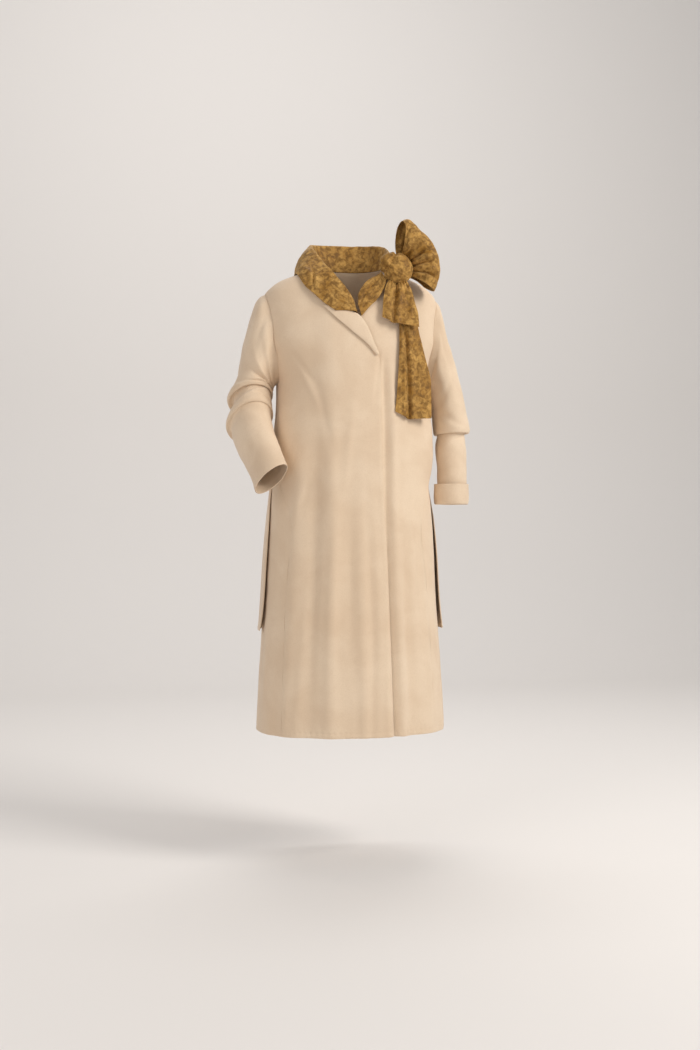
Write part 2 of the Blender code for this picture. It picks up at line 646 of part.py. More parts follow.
def add_collar():
    rows = {name: values[:, None] for name, values in along_rows(columns(COLLAR_COLUMNS, COLLAR_ROWS), 29).items()}
    seam, roll, edge = (point(*(rows[f"{line}_{axis}"] for axis in "xyz")) for line in ("seam", "roll", "edge"))
    neckline = coat_point(np.arctan2(seam[..., 1], seam[..., 0]), np.full(seam.shape[:2], NECK_HEIGHT))
    neckline = neckline + np.array([0, 0, 4 * SEAM_GAP])
    seam = mix(seam, neckline, ease((seam[..., 2:] - 0.030) / 0.012))
    edge = set_off(edge, rows["edge_lift"])
    outward = np.array([1, 1, 0]) * (edge - seam)
    outward = outward / np.linalg.norm(outward, axis=-1, keepdims=True)
    up = np.array([0, 0, 1])
    stand_share = np.array([0, 0.35, 0.68, 0.9])[None, :, None]
    stand = mix(seam, roll, stand_share)
    fall_share = np.array([0.06, 0.16, 0.3, 0.48, 0.66, 0.84, 1])[None, :, None]
    control = (roll + edge) / 2 + (outward * 0.7 + up * 0.7) * rows["bulge"][..., None] * 2
    fall = (
        roll * (1 - fall_share) ** 2
        + control * 2 * fall_share * (1 - fall_share)
        + edge * fall_share**2
    )
    fall = set_off(fall, VELVET_WALL + COLLAR_GAP + under_collar(fall), push_only=True)
    add_velvet("collar", off_knot(np.concatenate([stand, fall], axis=1)))


def add_band():
    rows = {name: values[:, None] for name, values in along_rows(columns(BAND_COLUMNS, BAND_ROWS), 9).items()}
    share = np.linspace(0, 1, 13)[None, :]
    x = mix(rows["inner_x"], rows["outer_x"], share)
    z = mix(rows["inner_z"], rows["outer_z"], share)
    grow = ease(np.linspace(0, 2.2, 9))[:, None]
    pleat = BAND_PLEAT_DEPTH * grow * np.sin(math.pi * BAND_PLEATS * share) ** 2
    grid = set_off(point(x, np.full(x.shape, -0.1), z), rows["lift"] + pleat)
    add_velvet("collar_band_left", off_knot(grid))


def knot_frame():
    """The knot's long axis, its depth and its height, as rows of a turning matrix."""
    tilt = math.radians(KNOT_TILT)
    return np.array([[math.cos(tilt), 0, math.sin(tilt)], [0, 1, 0], [-math.sin(tilt), 0, math.cos(tilt)]])


def off_knot(points, gap=SEAM_GAP):
    """The points moved out of the knot until the cloth laid on them just clears it."""
    clear = VELVET_WALL + gap
    sizes = np.array([KNOT_HALF_LENGTH, KNOT_HALF_DEPTH, KNOT_HALF_HEIGHT]) * KNOT_FULLEST + clear
    local = (points - np.array(KNOT_MIDDLE)) @ knot_frame().T / sizes
    size = np.linalg.norm(local, axis=-1, keepdims=True)
    local = local * np.maximum(1, 1 / np.maximum(size, 0.05))
    return (local * sizes) @ knot_frame() + np.array(KNOT_MIDDLE)


def add_knot():
    round_angle = np.linspace(0, 2 * math.pi, 22, endpoint=False)[None, :]
    along = np.linspace(-0.94, 0.94, 13)[:, None]
    tight = ease((0.2 - along) / 0.9)
    groove = 1 + (KNOT_GROOVE_DEPTH + KNOT_TIGHT_DEPTH * tight) * np.cos(KNOT_GROOVES * round_angle + 2 * along)
    radius = np.sqrt(1 - along**2) * groove / (1 + KNOT_GROOVE_DEPTH)
    fat = 1 + 0.12 * along - 0.16 * np.exp(-(((along + 0.45) / 0.16) ** 2))
    x = KNOT_HALF_LENGTH * along + 0 * round_angle
    y = KNOT_HALF_DEPTH * radius * fat * np.sin(round_angle)
    z = KNOT_HALF_HEIGHT * radius * fat * np.cos(round_angle)
    grid = point(x, y, z) @ knot_frame() + np.array(KNOT_MIDDLE)
    rows, across = grid.shape[:2]
    number = np.arange(rows * across).reshape(rows, across)
    number = np.hstack([number, number[:, :1]])
    quads = np.stack([number[:-1, :-1], number[1:, :-1], number[1:, 1:], number[:-1, 1:]], axis=-1)
    faces = quads.reshape(-1, 4).tolist() + [number[0, :-1].tolist(), number[-1, :-1][::-1].tolist()]
    mesh = bpy.data.meshes.new("knot")
    mesh.from_pydata(grid.reshape(-1, 3).tolist(), [], faces)
    mesh.shade_smooth()
    mesh.materials.append(blender_material("knot", VELVET_COLOUR, 0.9))
    bpy.context.collection.objects.link(bpy.data.objects.new("knot", mesh))


def add_loop():
    """A loop of cloth: out from the knot in front, round its far fold and back in behind."""
    reach = np.array(LOOP_REACH)
    around = np.linspace(0, 1, 15)[:, None]
    share = np.linspace(0, 1, 17)[None, :]
    low = mix(LOOP_FRONT_FAN[0], LOOP_BACK_FAN[0], ease(around))
    high = mix(LOOP_FRONT_FAN[1], LOOP_BACK_FAN[1], ease(around))
    fan = mix(low, high, share)
    out = (1 - np.cos(2 * math.pi * around)) / 2
    length = smooth(reach[:, 0], reach[:, 1], fan) - LOOP_START
    distance = LOOP_START + length * out
    side = np.cos(math.pi * around)
    swell = np.sin(2 * math.pi * around) * np.sin(math.pi * around) ** 0.6
    pucker = LOOP_PUCKER_DEPTH * np.cos(2 * math.pi * LOOP_PUCKERS * share) * out * (1 - out) * 4
    depth = -LOOP_PINCH * side - LOOP_HALF_DEPTH * swell + pucker - LOOP_FORWARD * np.sqrt(out)
    angle = np.radians(fan)
    root = np.array(LOOP_ROOT)
    grid = root + point(distance * np.cos(angle), depth, distance * np.sin(angle))
    grid = off_knot(set_off(grid, LOOP_CLEAR, push_only=True), LOOP_GAP)
    add_velvet("bow_loop", grid, flip=True)


def add_tail(name, rows, count, lift):
    table = {key: values[:, None] for key, values in along_rows(columns(TAIL_COLUMNS, rows), count).items()}
    width = table["right_x"] - table["left_x"]
    fold_share = (table["fold_x"] - table["left_x"]) / width
    spread = np.array([0, 0.34, 0.67, 0.86, 1, 1.14, 1.35, 1.6, 1.85, 2])[None, :]
    share = np.where(spread < 1, fold_share * spread, fold_share + (1 - fold_share) * (spread - 1))
    x = table["left_x"] + width * share
    z_left = mix(table["left_z"], table["fold_z"], np.clip(spread, 0, 1))
    z = np.where(spread < 1, z_left, mix(table["fold_z"], table["right_z"], np.clip(spread - 1, 0, 1)))
    valley = TAIL_FOLD_DEPTH * np.exp(-(((x - table["fold_x"]) / TAIL_FOLD_WIDTH) ** 2))
    y = mix(table["left_y"], table["right_y"], share) + valley
    add_velvet(name, off_knot(set_off(point(x, y, z), lift, push_only=True)))


def main():
    for thing in list(bpy.data.objects):
        bpy.data.objects.remove(thing)
    add_fronts()
    add_back()
    add_flounce()
    add_lapel()
    add_sleeves()
    add_collar()
    add_band()
    add_knot()
    add_loop()
    add_tail("tail_short", TAIL_SHORT, 9, 0.0115)
    add_tail("tail_long", TAIL_LONG, 14, 0.0026)


main()
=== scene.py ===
# A long wrap coat of ivory wool with a velvet scarf collar tied in a bow, in its worn form.
# Metres, +Z up, the coat faces -Y and +X is the wearer's left. A turn is an angle round the body
# seen from above: 0 at the wearer's left, 90 at the back, 180 at the right and 270 at the front.

import math

import bpy
import numpy as np
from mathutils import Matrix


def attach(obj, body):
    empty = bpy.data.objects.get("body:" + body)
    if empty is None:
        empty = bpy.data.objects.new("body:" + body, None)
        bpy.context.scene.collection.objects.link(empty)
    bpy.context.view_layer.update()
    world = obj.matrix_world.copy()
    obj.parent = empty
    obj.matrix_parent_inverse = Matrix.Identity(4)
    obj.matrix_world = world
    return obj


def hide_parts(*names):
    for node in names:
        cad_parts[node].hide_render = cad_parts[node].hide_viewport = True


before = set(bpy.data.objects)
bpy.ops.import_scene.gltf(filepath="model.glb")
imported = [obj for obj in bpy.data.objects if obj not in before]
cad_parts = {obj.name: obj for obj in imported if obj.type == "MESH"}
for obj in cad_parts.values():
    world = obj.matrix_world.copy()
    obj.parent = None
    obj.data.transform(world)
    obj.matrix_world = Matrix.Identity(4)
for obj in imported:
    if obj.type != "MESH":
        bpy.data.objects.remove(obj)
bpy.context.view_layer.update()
print("frame loaded")

coat = {
    "woolWall": 0.0018,
    "velvetWall": 0.0020,
    "seamGap": 0.0003,
    "neckHeight": 0.045,
    "armholeTop": -0.030,
    "armholeBottom": -0.250,
    "armholeHalfDepth": 0.065,
    "ringPower": 2.3,
    "frontLap": 0.0060,
    "lapelLift": 0.0028,
    "foldShare": 0.95,
    "creaseStrength": 1.5,
    "sleeveCreaseStrength": 1.25,
}
hemHeight = -1.095

# Body rings from hem to neck: half widths to each side, and depths before and behind the axis
bodyColumns = ("height", "right", "left", "front", "back")
bodyRings = (
    (-1.095, 0.232, 0.234, 0.168, 0.156),
    (-0.980, 0.226, 0.228, 0.162, 0.149),
    (-0.860, 0.218, 0.220, 0.156, 0.142),
    (-0.780, 0.213, 0.214, 0.152, 0.138),
    (-0.660, 0.207, 0.208, 0.147, 0.131),
    (-0.580, 0.202, 0.203, 0.144, 0.126),
    (-0.540, 0.199, 0.199, 0.142, 0.124),
    (-0.500, 0.196, 0.195, 0.141, 0.122),
    (-0.460, 0.197, 0.203, 0.140, 0.121),
    (-0.420, 0.195, 0.207, 0.139, 0.121),
    (-0.360, 0.189, 0.205, 0.138, 0.121),
    (-0.300, 0.184, 0.195, 0.136, 0.121),
    (-0.250, 0.183, 0.188, 0.134, 0.122),
    (-0.200, 0.198, 0.199, 0.131, 0.122),
    (-0.140, 0.220, 0.220, 0.126, 0.120),
    (-0.090, 0.222, 0.222, 0.118, 0.116),
    (-0.060, 0.221, 0.221, 0.109, 0.110),
    (-0.030, 0.213, 0.213, 0.098, 0.102),
    (-0.012, 0.197, 0.197, 0.091, 0.096),
    (0.002, 0.177, 0.177, 0.085, 0.091),
    (0.012, 0.154, 0.154, 0.080, 0.087),
    (0.022, 0.128, 0.128, 0.075, 0.082),
    (0.033, 0.102, 0.102, 0.069, 0.076),
    (0.045, 0.082, 0.082, 0.063, 0.070),
)

# Soft folds down the body: turn, half width, depth, and the heights where it starts and is full
bodyFolds = (
    (218.0, 6.0, 0.0045, -0.30, -0.55),
    (231.0, 5.0, -0.0050, -0.26, -0.60),
    (244.0, 6.0, 0.0040, -0.28, -0.50),
    (259.0, 6.0, -0.0035, -0.40, -0.80),
    (272.0, 5.0, 0.0030, -0.35, -0.70),
    (296.0, 3.2, -0.0060, -0.17, -0.24),
    (302.0, 4.0, 0.0040, -0.17, -0.30),
    (311.0, 5.0, -0.0050, -0.45, -1.00),
    (328.0, 6.0, 0.0030, -0.50, -0.90),
    (28.0, 7.0, -0.0045, -0.45, -0.85),
    (52.0, 8.0, 0.0050, -0.35, -0.80),
    (74.0, 7.0, -0.0050, -0.40, -0.85),
    (95.0, 8.0, 0.0055, -0.30, -0.75),
    (117.0, 7.0, -0.0045, -0.42, -0.90),
    (139.0, 8.0, 0.0045, -0.35, -0.80),
    (160.0, 7.0, -0.0040, -0.45, -0.85),
)

# Side seam, as a turn in front of the side: it swings forward below the waist
sideSeamColumns = ("height", "forward")
sideSeam = (
    (-1.095, 32.0),
    (-0.950, 31.0),
    (-0.800, 30.0),
    (-0.700, 31.0),
    (-0.620, 33.5),
    (-0.575, 31.0),
    (-0.540, 26.5),
    (-0.500, 19.0),
    (-0.460, 13.0),
    (-0.390, 7.0),
    (-0.310, 3.0),
    (-0.250, 0.0),
)

# Where the columns of a front start, as a turn in front of the side, so that they stay straight
# beside the armhole
columnStartColumns = ("height", "forward")
columnStart = (
    (-1.095, 32.0),
    (-0.620, 33.0),
    (-0.460, 24.0),
    (-0.300, 20.0),
    (-0.140, 18.0),
    (-0.030, 9.0),
    (0.045, 0.0),
)

# Free edge of each front and, above it, the neckline, as a distance across from the middle
frontEdgeColumns = ("height", "rightFront", "leftFront")
frontEdges = (
    (-1.095, 0.078, -0.045),
    (-0.780, 0.067, -0.045),
    (-0.480, 0.053, -0.045),
    (-0.300, 0.050, -0.044),
    (-0.200, 0.049, -0.040),
    (-0.187, 0.043, -0.036),
    (-0.160, 0.031, -0.026),
    (-0.125, 0.018, -0.012),
    (-0.100, 0.000, 0.002),
    (-0.088, -0.0125, 0.009),
    (-0.045, -0.038, 0.034),
    (-0.005, -0.062, 0.060),
    (0.030, -0.0765, 0.0755),
    (0.045, -0.0805, 0.0800),
)

# Turned-back lapel from the break up to under the collar: its fold line and its outer edge
lapelColumns = ("foldX", "foldZ", "edgeX", "edgeZ")
lapelRows = (
    (0.0440, -0.1880, 0.0395, -0.1900),
    (0.0325, -0.1600, 0.0190, -0.1650),
    (0.0195, -0.1250, -0.0170, -0.1350),
    (0.0005, -0.0965, -0.0580, -0.0990),
    (-0.0320, -0.0800, -0.0850, -0.0700),
)

# Sleeves: each ring's outer and inner point seen from the front, measured out from the middle of
# the body, then the depth of its centre, its half depth, and how much its front is lifted
sleeveColumns = ("outX", "outZ", "inX", "inZ", "middleY", "halfY", "lift")
sleeveRightRings = (
    (0.2260, -0.038, 0.1880, -0.2535, 0.000, 0.0670, 0.000),
    (0.2370, -0.055, 0.1895, -0.2560, 0.000, 0.0690, 0.000),
    (0.2470, -0.085, 0.1905, -0.2585, 0.000, 0.0700, 0.002),
    (0.2580, -0.125, 0.1915, -0.2610, 0.000, 0.0690, 0.006),
    (0.2680, -0.165, 0.1925, -0.2635, 0.002, 0.0680, 0.010),
    (0.2750, -0.205, 0.1930, -0.2665, 0.003, 0.0670, 0.015),
    (0.2790, -0.232, 0.1935, -0.2685, 0.003, 0.0660, 0.020),
    (0.2900, -0.256, 0.1935, -0.2705, 0.003, 0.0660, 0.025),
    (0.3020, -0.277, 0.1930, -0.2735, 0.001, 0.0650, 0.030),
    (0.3045, -0.287, 0.1925, -0.2780, -0.001, 0.0630, 0.032),
    (0.3010, -0.2935, 0.1945, -0.2830, -0.003, 0.0590, 0.032),
    (0.2920, -0.2900, 0.1985, -0.2790, -0.005, 0.0520, 0.031),
    (0.2880, -0.2960, 0.2000, -0.2820, -0.008, 0.0500, 0.031),
    (0.2920, -0.3120, 0.1985, -0.2930, -0.011, 0.0520, 0.034),
    (0.3000, -0.3300, 0.1960, -0.3080, -0.014, 0.0550, 0.040),
    (0.3080, -0.3460, 0.1940, -0.3240, -0.017, 0.0560, 0.044),
    (0.3070, -0.3550, 0.1950, -0.3320, -0.019, 0.0535, 0.045),
    (0.2980, -0.3540, 0.1990, -0.3300, -0.022, 0.0480, 0.043),
    (0.2945, -0.3620, 0.2000, -0.3370, -0.026, 0.0465, 0.041),
    (0.2940, -0.3780, 0.1985, -0.3530, -0.036, 0.0460, 0.037),
    (0.2850, -0.4110, 0.1935, -0.3830, -0.060, 0.0450, 0.030),
    (0.2680, -0.4480, 0.1860, -0.4130, -0.086, 0.0425, 0.027),
    (0.2560, -0.4780, 0.1785, -0.4380, -0.107, 0.0400, 0.026),
    (0.2495, -0.5095, 0.1715, -0.4625, -0.128, 0.0375, 0.025),
)
sleeveLeftRings = (
    (0.2245, -0.045, 0.1915, -0.2535, 0.000, 0.0670, 0.000),
    (0.2320, -0.075, 0.1935, -0.2560, 0.000, 0.0690, 0.000),
    (0.2385, -0.109, 0.1950, -0.2585, 0.000, 0.0690, 0.001),
    (0.2520, -0.150, 0.1965, -0.2620, 0.000, 0.0680, 0.002),
    (0.2665, -0.195, 0.1985, -0.2670, 0.000, 0.0670, 0.003),
    (0.2770, -0.238, 0.2010, -0.2760, -0.001, 0.0650, 0.003),
    (0.2870, -0.283, 0.2045, -0.2940, -0.002, 0.0630, 0.003),
    (0.2955, -0.320, 0.2080, -0.3200, -0.004, 0.0620, 0.002),
    (0.3015, -0.347, 0.2110, -0.3460, -0.006, 0.0600, 0.001),
    (0.3025, -0.358, 0.2120, -0.3620, -0.007, 0.0580, 0.001),
    (0.2995, -0.3645, 0.2145, -0.3690, -0.008, 0.0545, 0.001),
    (0.2920, -0.3610, 0.2190, -0.3655, -0.009, 0.0480, 0.001),
    (0.2885, -0.3680, 0.2195, -0.3720, -0.010, 0.0450, 0.001),
    (0.2905, -0.3900, 0.2160, -0.3940, -0.013, 0.0430, 0.000),
    (0.2920, -0.4250, 0.2160, -0.4280, -0.018, 0.0420, 0.000),
    (0.2915, -0.4570, 0.2180, -0.4570, -0.021, 0.0410, 0.000),
    (0.2905, -0.4900, 0.2180, -0.4900, -0.024, 0.0400, 0.000),
    (0.2905, -0.5340, 0.2170, -0.5340, -0.026, 0.0390, 0.000),
)
cuffRings = (
    (0.2950, -0.4925, 0.2095, -0.4920, -0.026, 0.0455, 0.000),
    (0.2955, -0.5150, 0.2085, -0.5150, -0.026, 0.0460, 0.000),
    (0.2950, -0.5375, 0.2095, -0.5375, -0.026, 0.0450, 0.000),
    (0.2928, -0.5425, 0.2118, -0.5425, -0.026, 0.0425, 0.000),
    (0.2896, -0.5420, 0.2150, -0.5420, -0.026, 0.0390, 0.000),
    (0.2880, -0.5369, 0.2168, -0.5369, -0.026, 0.0372, 0.000),
)

# Collar stations from the bottom of the V round the back of the neck to the knot: the seam, the
# roll line and the outer edge, the edge's distance from the body and the fullness of the fall
collarColumns = (
    "seamX", "seamY", "seamZ", "rollX", "rollY", "rollZ",
    "edgeX", "edgeY", "edgeZ", "edgeLift", "bulge",
)
collarStations = (
    (-0.0080, -0.112, -0.0905, -0.0045, -0.126, -0.0870, -0.057, -0.122, -0.086, 0.0125, 0.002),
    (-0.0150, -0.108, -0.0700, -0.0100, -0.120, -0.0600, -0.081, -0.118, -0.067, 0.0125, 0.004),
    (-0.0330, -0.098, -0.0400, -0.0280, -0.106, -0.0240, -0.104, -0.106, -0.043, 0.0105, 0.006),
    (-0.0530, -0.080, -0.0080, -0.0480, -0.086, 0.0060, -0.127, -0.088, -0.017, 0.0060, 0.008),
    (-0.0680, -0.052, 0.0220, -0.0670, -0.060, 0.0340, -0.136, -0.055, 0.006, 0.0036, 0.010),
    (-0.0760, -0.028, 0.0420, -0.0840, -0.031, 0.0660, -0.138, -0.020, 0.017, 0.0034, 0.012),
    (-0.0780, 0.000, 0.0480, -0.0930, 0.002, 0.0920, -0.136, 0.018, 0.018, 0.0034, 0.014),
    (-0.0710, 0.032, 0.0490, -0.0920, 0.037, 0.1070, -0.124, 0.062, 0.012, 0.0034, 0.014),
    (-0.0460, 0.058, 0.0490, -0.0620, 0.074, 0.1170, -0.085, 0.104, 0.000, 0.0034, 0.013),
    (0.0000, 0.067, 0.0490, 0.0000, 0.088, 0.1210, 0.000, 0.122, -0.010, 0.0034, 0.012),
    (0.0460, 0.058, 0.0490, 0.0620, 0.074, 0.1200, 0.085, 0.104, 0.004, 0.0034, 0.012),
    (0.0710, 0.032, 0.0490, 0.0900, 0.036, 0.1090, 0.119, 0.062, 0.019, 0.0034, 0.012),
    (0.0780, 0.000, 0.0480, 0.0930, 0.002, 0.0940, 0.126, 0.016, 0.030, 0.0034, 0.009),
    (0.0790, -0.028, 0.0440, 0.0895, -0.028, 0.0780, 0.114, -0.024, 0.038, 0.0036, 0.006),
    (0.0780, -0.054, 0.0400, 0.0850, -0.058, 0.0640, 0.104, -0.054, 0.037, 0.0060, 0.004),
    (0.0830, -0.082, 0.0320, 0.0920, -0.086, 0.0460, 0.106, -0.084, 0.036, 0.0300, 0.001),
)

# Velvet band from the bottom of the V up to the knot: both edges and its rise off the coat
bandColumns = ("innerX", "innerZ", "outerX", "outerZ", "lift")
bandRows = (
    (-0.0010, -0.0720, 0.0070, -0.0990, 0.0026),
    (0.0020, -0.0450, 0.0255, -0.0780, 0.0030),
    (0.0190, -0.0120, 0.0440, -0.0580, 0.0060),
    (0.0440, 0.0090, 0.0580, -0.0380, 0.0100),
    (0.0720, 0.0280, 0.0700, -0.0020, 0.0180),
)

# Hanging ends, from the knot to the hem: both edges, the long fold between the two leaves, depth
tailColumns = ("leftX", "leftZ", "foldX", "foldZ", "rightX", "rightZ", "leftY", "rightY")
shortTailRows = (
    (0.0800, 0.0040, 0.0980, 0.0030, 0.1180, 0.0000, -0.106, -0.106),
    (0.0660, -0.0250, 0.0930, -0.0330, 0.1320, -0.0300, -0.116, -0.115),
    (0.0600, -0.0550, 0.0880, -0.0620, 0.1375, -0.0600, -0.123, -0.124),
    (0.0570, -0.0820, 0.0840, -0.0900, 0.1450, -0.0900, -0.130, -0.128),
    (0.0555, -0.0975, 0.0815, -0.1100, 0.1465, -0.1185, -0.134, -0.130),
)
longTailRows = (
    (0.0800, -0.0060, 0.1000, -0.0060, 0.1200, -0.0060, -0.090, -0.090),
    (0.0900, -0.0650, 0.1060, -0.0650, 0.1360, -0.0650, -0.113, -0.108),
    (0.0985, -0.1200, 0.1130, -0.1200, 0.1480, -0.1200, -0.123, -0.113),
    (0.0975, -0.1850, 0.1180, -0.1850, 0.1640, -0.1850, -0.129, -0.114),
    (0.0930, -0.2550, 0.1210, -0.2550, 0.1800, -0.2550, -0.134, -0.112),
    (0.0865, -0.3230, 0.1230, -0.3400, 0.1810, -0.3360, -0.137, -0.113),
)

# Layer over the back: its height, its stand-off, and where its lower corners end
flounceColumns = ("height", "lift", "cornerLift", "forward")
flounceRows = (
    (-0.503, 0.0036, 0.0036, 4.0),
    (-0.540, 0.0052, 0.0048, 6.0),
    (-0.600, 0.0075, 0.0070, 9.0),
    (-0.680, 0.0090, 0.0090, 10.0),
    (-0.760, 0.0100, 0.0100, 10.0),
    (-0.820, 0.0105, 0.0115, 9.0),
    (-0.852, 0.0110, 0.0130, 6.0),
)

# Curves and tables


# A table's columns by name
def columnsOf(names, rows):
    return dict(zip(names, np.array(rows, dtype=float).T))


# Cubic through the stops that never overshoots them, read at any places
def smoothCurve(stops, values, at):
    stops = np.asarray(stops, dtype=float)
    values = np.asarray(values, dtype=float)
    at = np.clip(np.asarray(at, dtype=float), stops[0], stops[-1])
    widths = np.diff(stops)
    slopes = np.diff(values) / widths
    before, after = slopes[:-1], slopes[1:]
    sameWay = before * after > 0
    middle = np.where(sameWay, 2 * before * after / np.where(sameWay, before + after, 1), 0)
    bends = np.concatenate([slopes[:1], middle, slopes[-1:]])
    left = np.clip(np.searchsorted(stops, at, side="right") - 1, 0, len(widths) - 1)
    width = widths[left]
    along = (at - stops[left]) / width
    rest = 1 - along
    return (
        values[left] * rest * rest * (1 + 2 * along)
        + values[left + 1] * along * along * (1 + 2 * rest)
        + bends[left] * width * along * rest * rest
        - bends[left + 1] * width * along * along * rest
    )


# 0 to 1 with soft ends
def ease(amount):
    amount = np.clip(amount, 0, 1)
    return amount * amount * (3 - 2 * amount)


# The straight mix of two values: the first at share 0 and the second at share 1
def mixed(first, second, share):
    return first * (1 - share) + second * share


# A bell round a place: 1 there, and nearly 0 two widths away
def bell(away, width):
    return np.exp(-((away / width) ** 2))


# Each column of a table read on a smooth curve at evenly spaced rows
def alongRows(table, count):
    rows = len(next(iter(table.values())))
    places = np.linspace(0, rows - 1, count)
    at = np.arange(rows)
    return {name: smoothCurve(at, values, places)[:, None] for name, values in table.items()}


# Rows of points carried on a smooth curve through the given rows, point by point
def fineRows(grid, count):
    places = np.linspace(0, len(grid) - 1, count)
    start = np.clip(places.astype(int), 0, len(grid) - 2)
    t = (places - start)[:, None, None]
    last = len(grid) - 1
    p0, p1, p2, p3 = (grid[np.clip(start + k, 0, last)] for k in (-1, 0, 1, 2))
    square = 2 * p0 - 5 * p1 + 4 * p2 - p3
    cube = 3 * p1 - p0 - 3 * p2 + p3
    return 0.5 * (2 * p1 + (p2 - p0) * t + square * t**2 + cube * t**3)


# Three arrays of coordinates as one array of points
def pointsAt(x, y, z):
    return np.stack(np.broadcast_arrays(x, y, z), axis=-1)


# Soft unevenness of cloth: six sine waves in fixed directions, about 1 high in all
waverWays = np.array([
    (1.0, 0.3, 0.5), (-0.4, 0.9, 0.7), (0.6, -0.7, 1.1),
    (0.2, 1.2, -0.5), (-0.9, -0.2, 0.8), (0.5, 0.5, -1.2),
])


# The mean of the sine waves, each bent by another sine a half as fine
def waver(points, size, seed=0.0):
    total = np.zeros(points.shape[:-1])
    for index, way in enumerate(waverWays):
        bent = np.sin(points @ np.roll(way, 1) * 3.1 / size + 2.3 * index + seed)
        total = total + np.sin(points @ way * 6.28 / size + 1.4 * bent + 1.7 * index + 3 * seed)
    return total / len(waverWays)


# The coat's body surface


body = columnsOf(bodyColumns, bodyRings)


# Each soft fold is a bell across that fades in down the body. Low waves grow towards the hem.
def drape(turn, height):
    pushed = np.zeros(np.broadcast(turn, height).shape)
    for centre, halfWidth, depth, top, full in bodyFolds:
        away = np.remainder(np.degrees(turn) - centre + 180, 360) - 180
        share = 1 if top > -0.2 else coat["foldShare"]
        pushed = pushed + share * depth * bell(away, halfWidth) * ease((top - height) / (top - full))
    low = ease((-0.35 - height) / 0.6)
    wide = np.sin(17 * turn + 2.1 * np.sin(3 * turn + 4 * height))
    narrow = np.sin(31 * turn + 1.3 * np.sin(5 * turn - 6 * height))
    return pushed + 0.0012 * low * wide + 0.0007 * low * narrow


# Distance from the axis: a squared-off ellipse through the ring's four sizes, with its folds
def ringRadius(turn, height):
    right, left, front, back = (
        smoothCurve(body["height"], body[name], height) for name in bodyColumns[1:]
    )
    across = np.cos(turn) / np.where(np.cos(turn) < 0, right, left)
    deep = np.sin(turn) / np.where(np.sin(turn) < 0, front, back)
    power = coat["ringPower"]
    return (np.abs(across) ** power + np.abs(deep) ** power) ** (-1 / power) + drape(turn, height)


# The point of the body surface at a turn and a height
def coatPoint(turn, height):
    radius = ringRadius(turn, height)
    return pointsAt(radius * np.cos(turn), radius * np.sin(turn), height)


# Each point's distance outside the body surface, and the way straight out from it
def offSurface(points):
    def gap(at):
        turn = np.arctan2(at[..., 1], at[..., 0])
        return np.hypot(at[..., 0], at[..., 1]) - ringRadius(turn, at[..., 2])

    step = 0.0005
    slopes = [(gap(points + shift) - gap(points - shift)) / (2 * step) for shift in np.eye(3) * step]
    slope = np.stack(slopes, axis=-1)
    size = np.linalg.norm(slope, axis=-1, keepdims=True)
    return gap(points) / size[..., 0], slope / size


# The points moved straight out or in until they lie that far off the body
def setOff(points, lift, pushOnly=False):
    for _ in range(5):
        distance, outward = offSurface(points)
        move = lift - distance
        if pushOnly:
            move = np.maximum(move, 0)
        points = points + outward * move[..., None]
    return points


# The turn at which the body surface reaches a value across (axis 0) or in depth (axis 1)
def turnWhere(axis, value, height, start, stop):
    turns = np.radians(np.linspace(start, stop, 481))
    found = []
    for wanted, level in zip(np.broadcast_to(value, np.shape(height)), height):
        reached = coatPoint(turns, np.full(turns.shape, level))[:, axis]
        order = np.argsort(reached)
        found.append(np.interp(wanted, reached[order], turns[order]))
    return np.array(found)


# How far the right front rides off the body where it laps over the left one
def lapLift(points):
    return coat["frontLap"] * ease((points[..., 0] + 0.12) / 0.06) * ease(-points[..., 1] / 0.06)


# Node groups for the finishes


# An empty node group with these named inputs and outputs
def newGroup(name, inputs, outputs):
    group = bpy.data.node_groups.new(name, "ShaderNodeTree")
    for label, kind, value in inputs:
        socket = group.interface.new_socket(name=label, in_out="INPUT", socket_type=kind)
        if value is not None:
            socket.default_value = value
    for label, kind in outputs:
        group.interface.new_socket(name=label, in_out="OUTPUT", socket_type=kind)
    start = group.nodes.new("NodeGroupInput")
    end = group.nodes.new("NodeGroupOutput")
    return group, start, end


# One sum or product of two values, each a number or a socket
def addMath(tree, operation, first, second):
    node = tree.nodes.new("ShaderNodeMath")
    node.operation = operation
    for socket, value in zip(node.inputs, (first, second)):
        if isinstance(value, (int, float)):
            socket.default_value = value
        else:
            tree.links.new(value, socket)
    return node.outputs[0]


# Noise read at the vector
def addNoise(tree, vector, scale, detail, roughness=0.5, distortion=0.0):
    node = tree.nodes.new("ShaderNodeTexNoise")
    node.inputs["Detail"].default_value = detail
    node.inputs["Roughness"].default_value = roughness
    node.inputs["Distortion"].default_value = distortion
    if isinstance(scale, (int, float)):
        node.inputs["Scale"].default_value = scale
    else:
        tree.links.new(scale, node.inputs["Scale"])
    tree.links.new(vector, node.inputs["Vector"])
    return node.outputs["Fac"]


# A value spread softly from one range to another
def addRange(tree, value, low, high, toLow=0.0, toHigh=1.0):
    node = tree.nodes.new("ShaderNodeMapRange")
    node.interpolation_type = "SMOOTHSTEP"
    for label, number in (("From Min", low), ("From Max", high), ("To Min", toLow), ("To Max", toHigh)):
        node.inputs[label].default_value = number
    tree.links.new(value, node.inputs["Value"])
    return node.outputs["Result"]


# The first colour at factor 0 and the second at factor 1
def addMix(tree, factor, first, second):
    node = tree.nodes.new("ShaderNodeMix")
    node.data_type = "RGBA"
    tree.links.new(factor, node.inputs["Factor"])
    colours = [socket for socket in node.inputs if socket.type == "RGBA"]
    for socket, value in zip(colours, (first, second)):
        if isinstance(value, tuple):
            socket.default_value = value
        else:
            tree.links.new(value, socket)
    return [socket for socket in node.outputs if socket.type == "RGBA"][0]


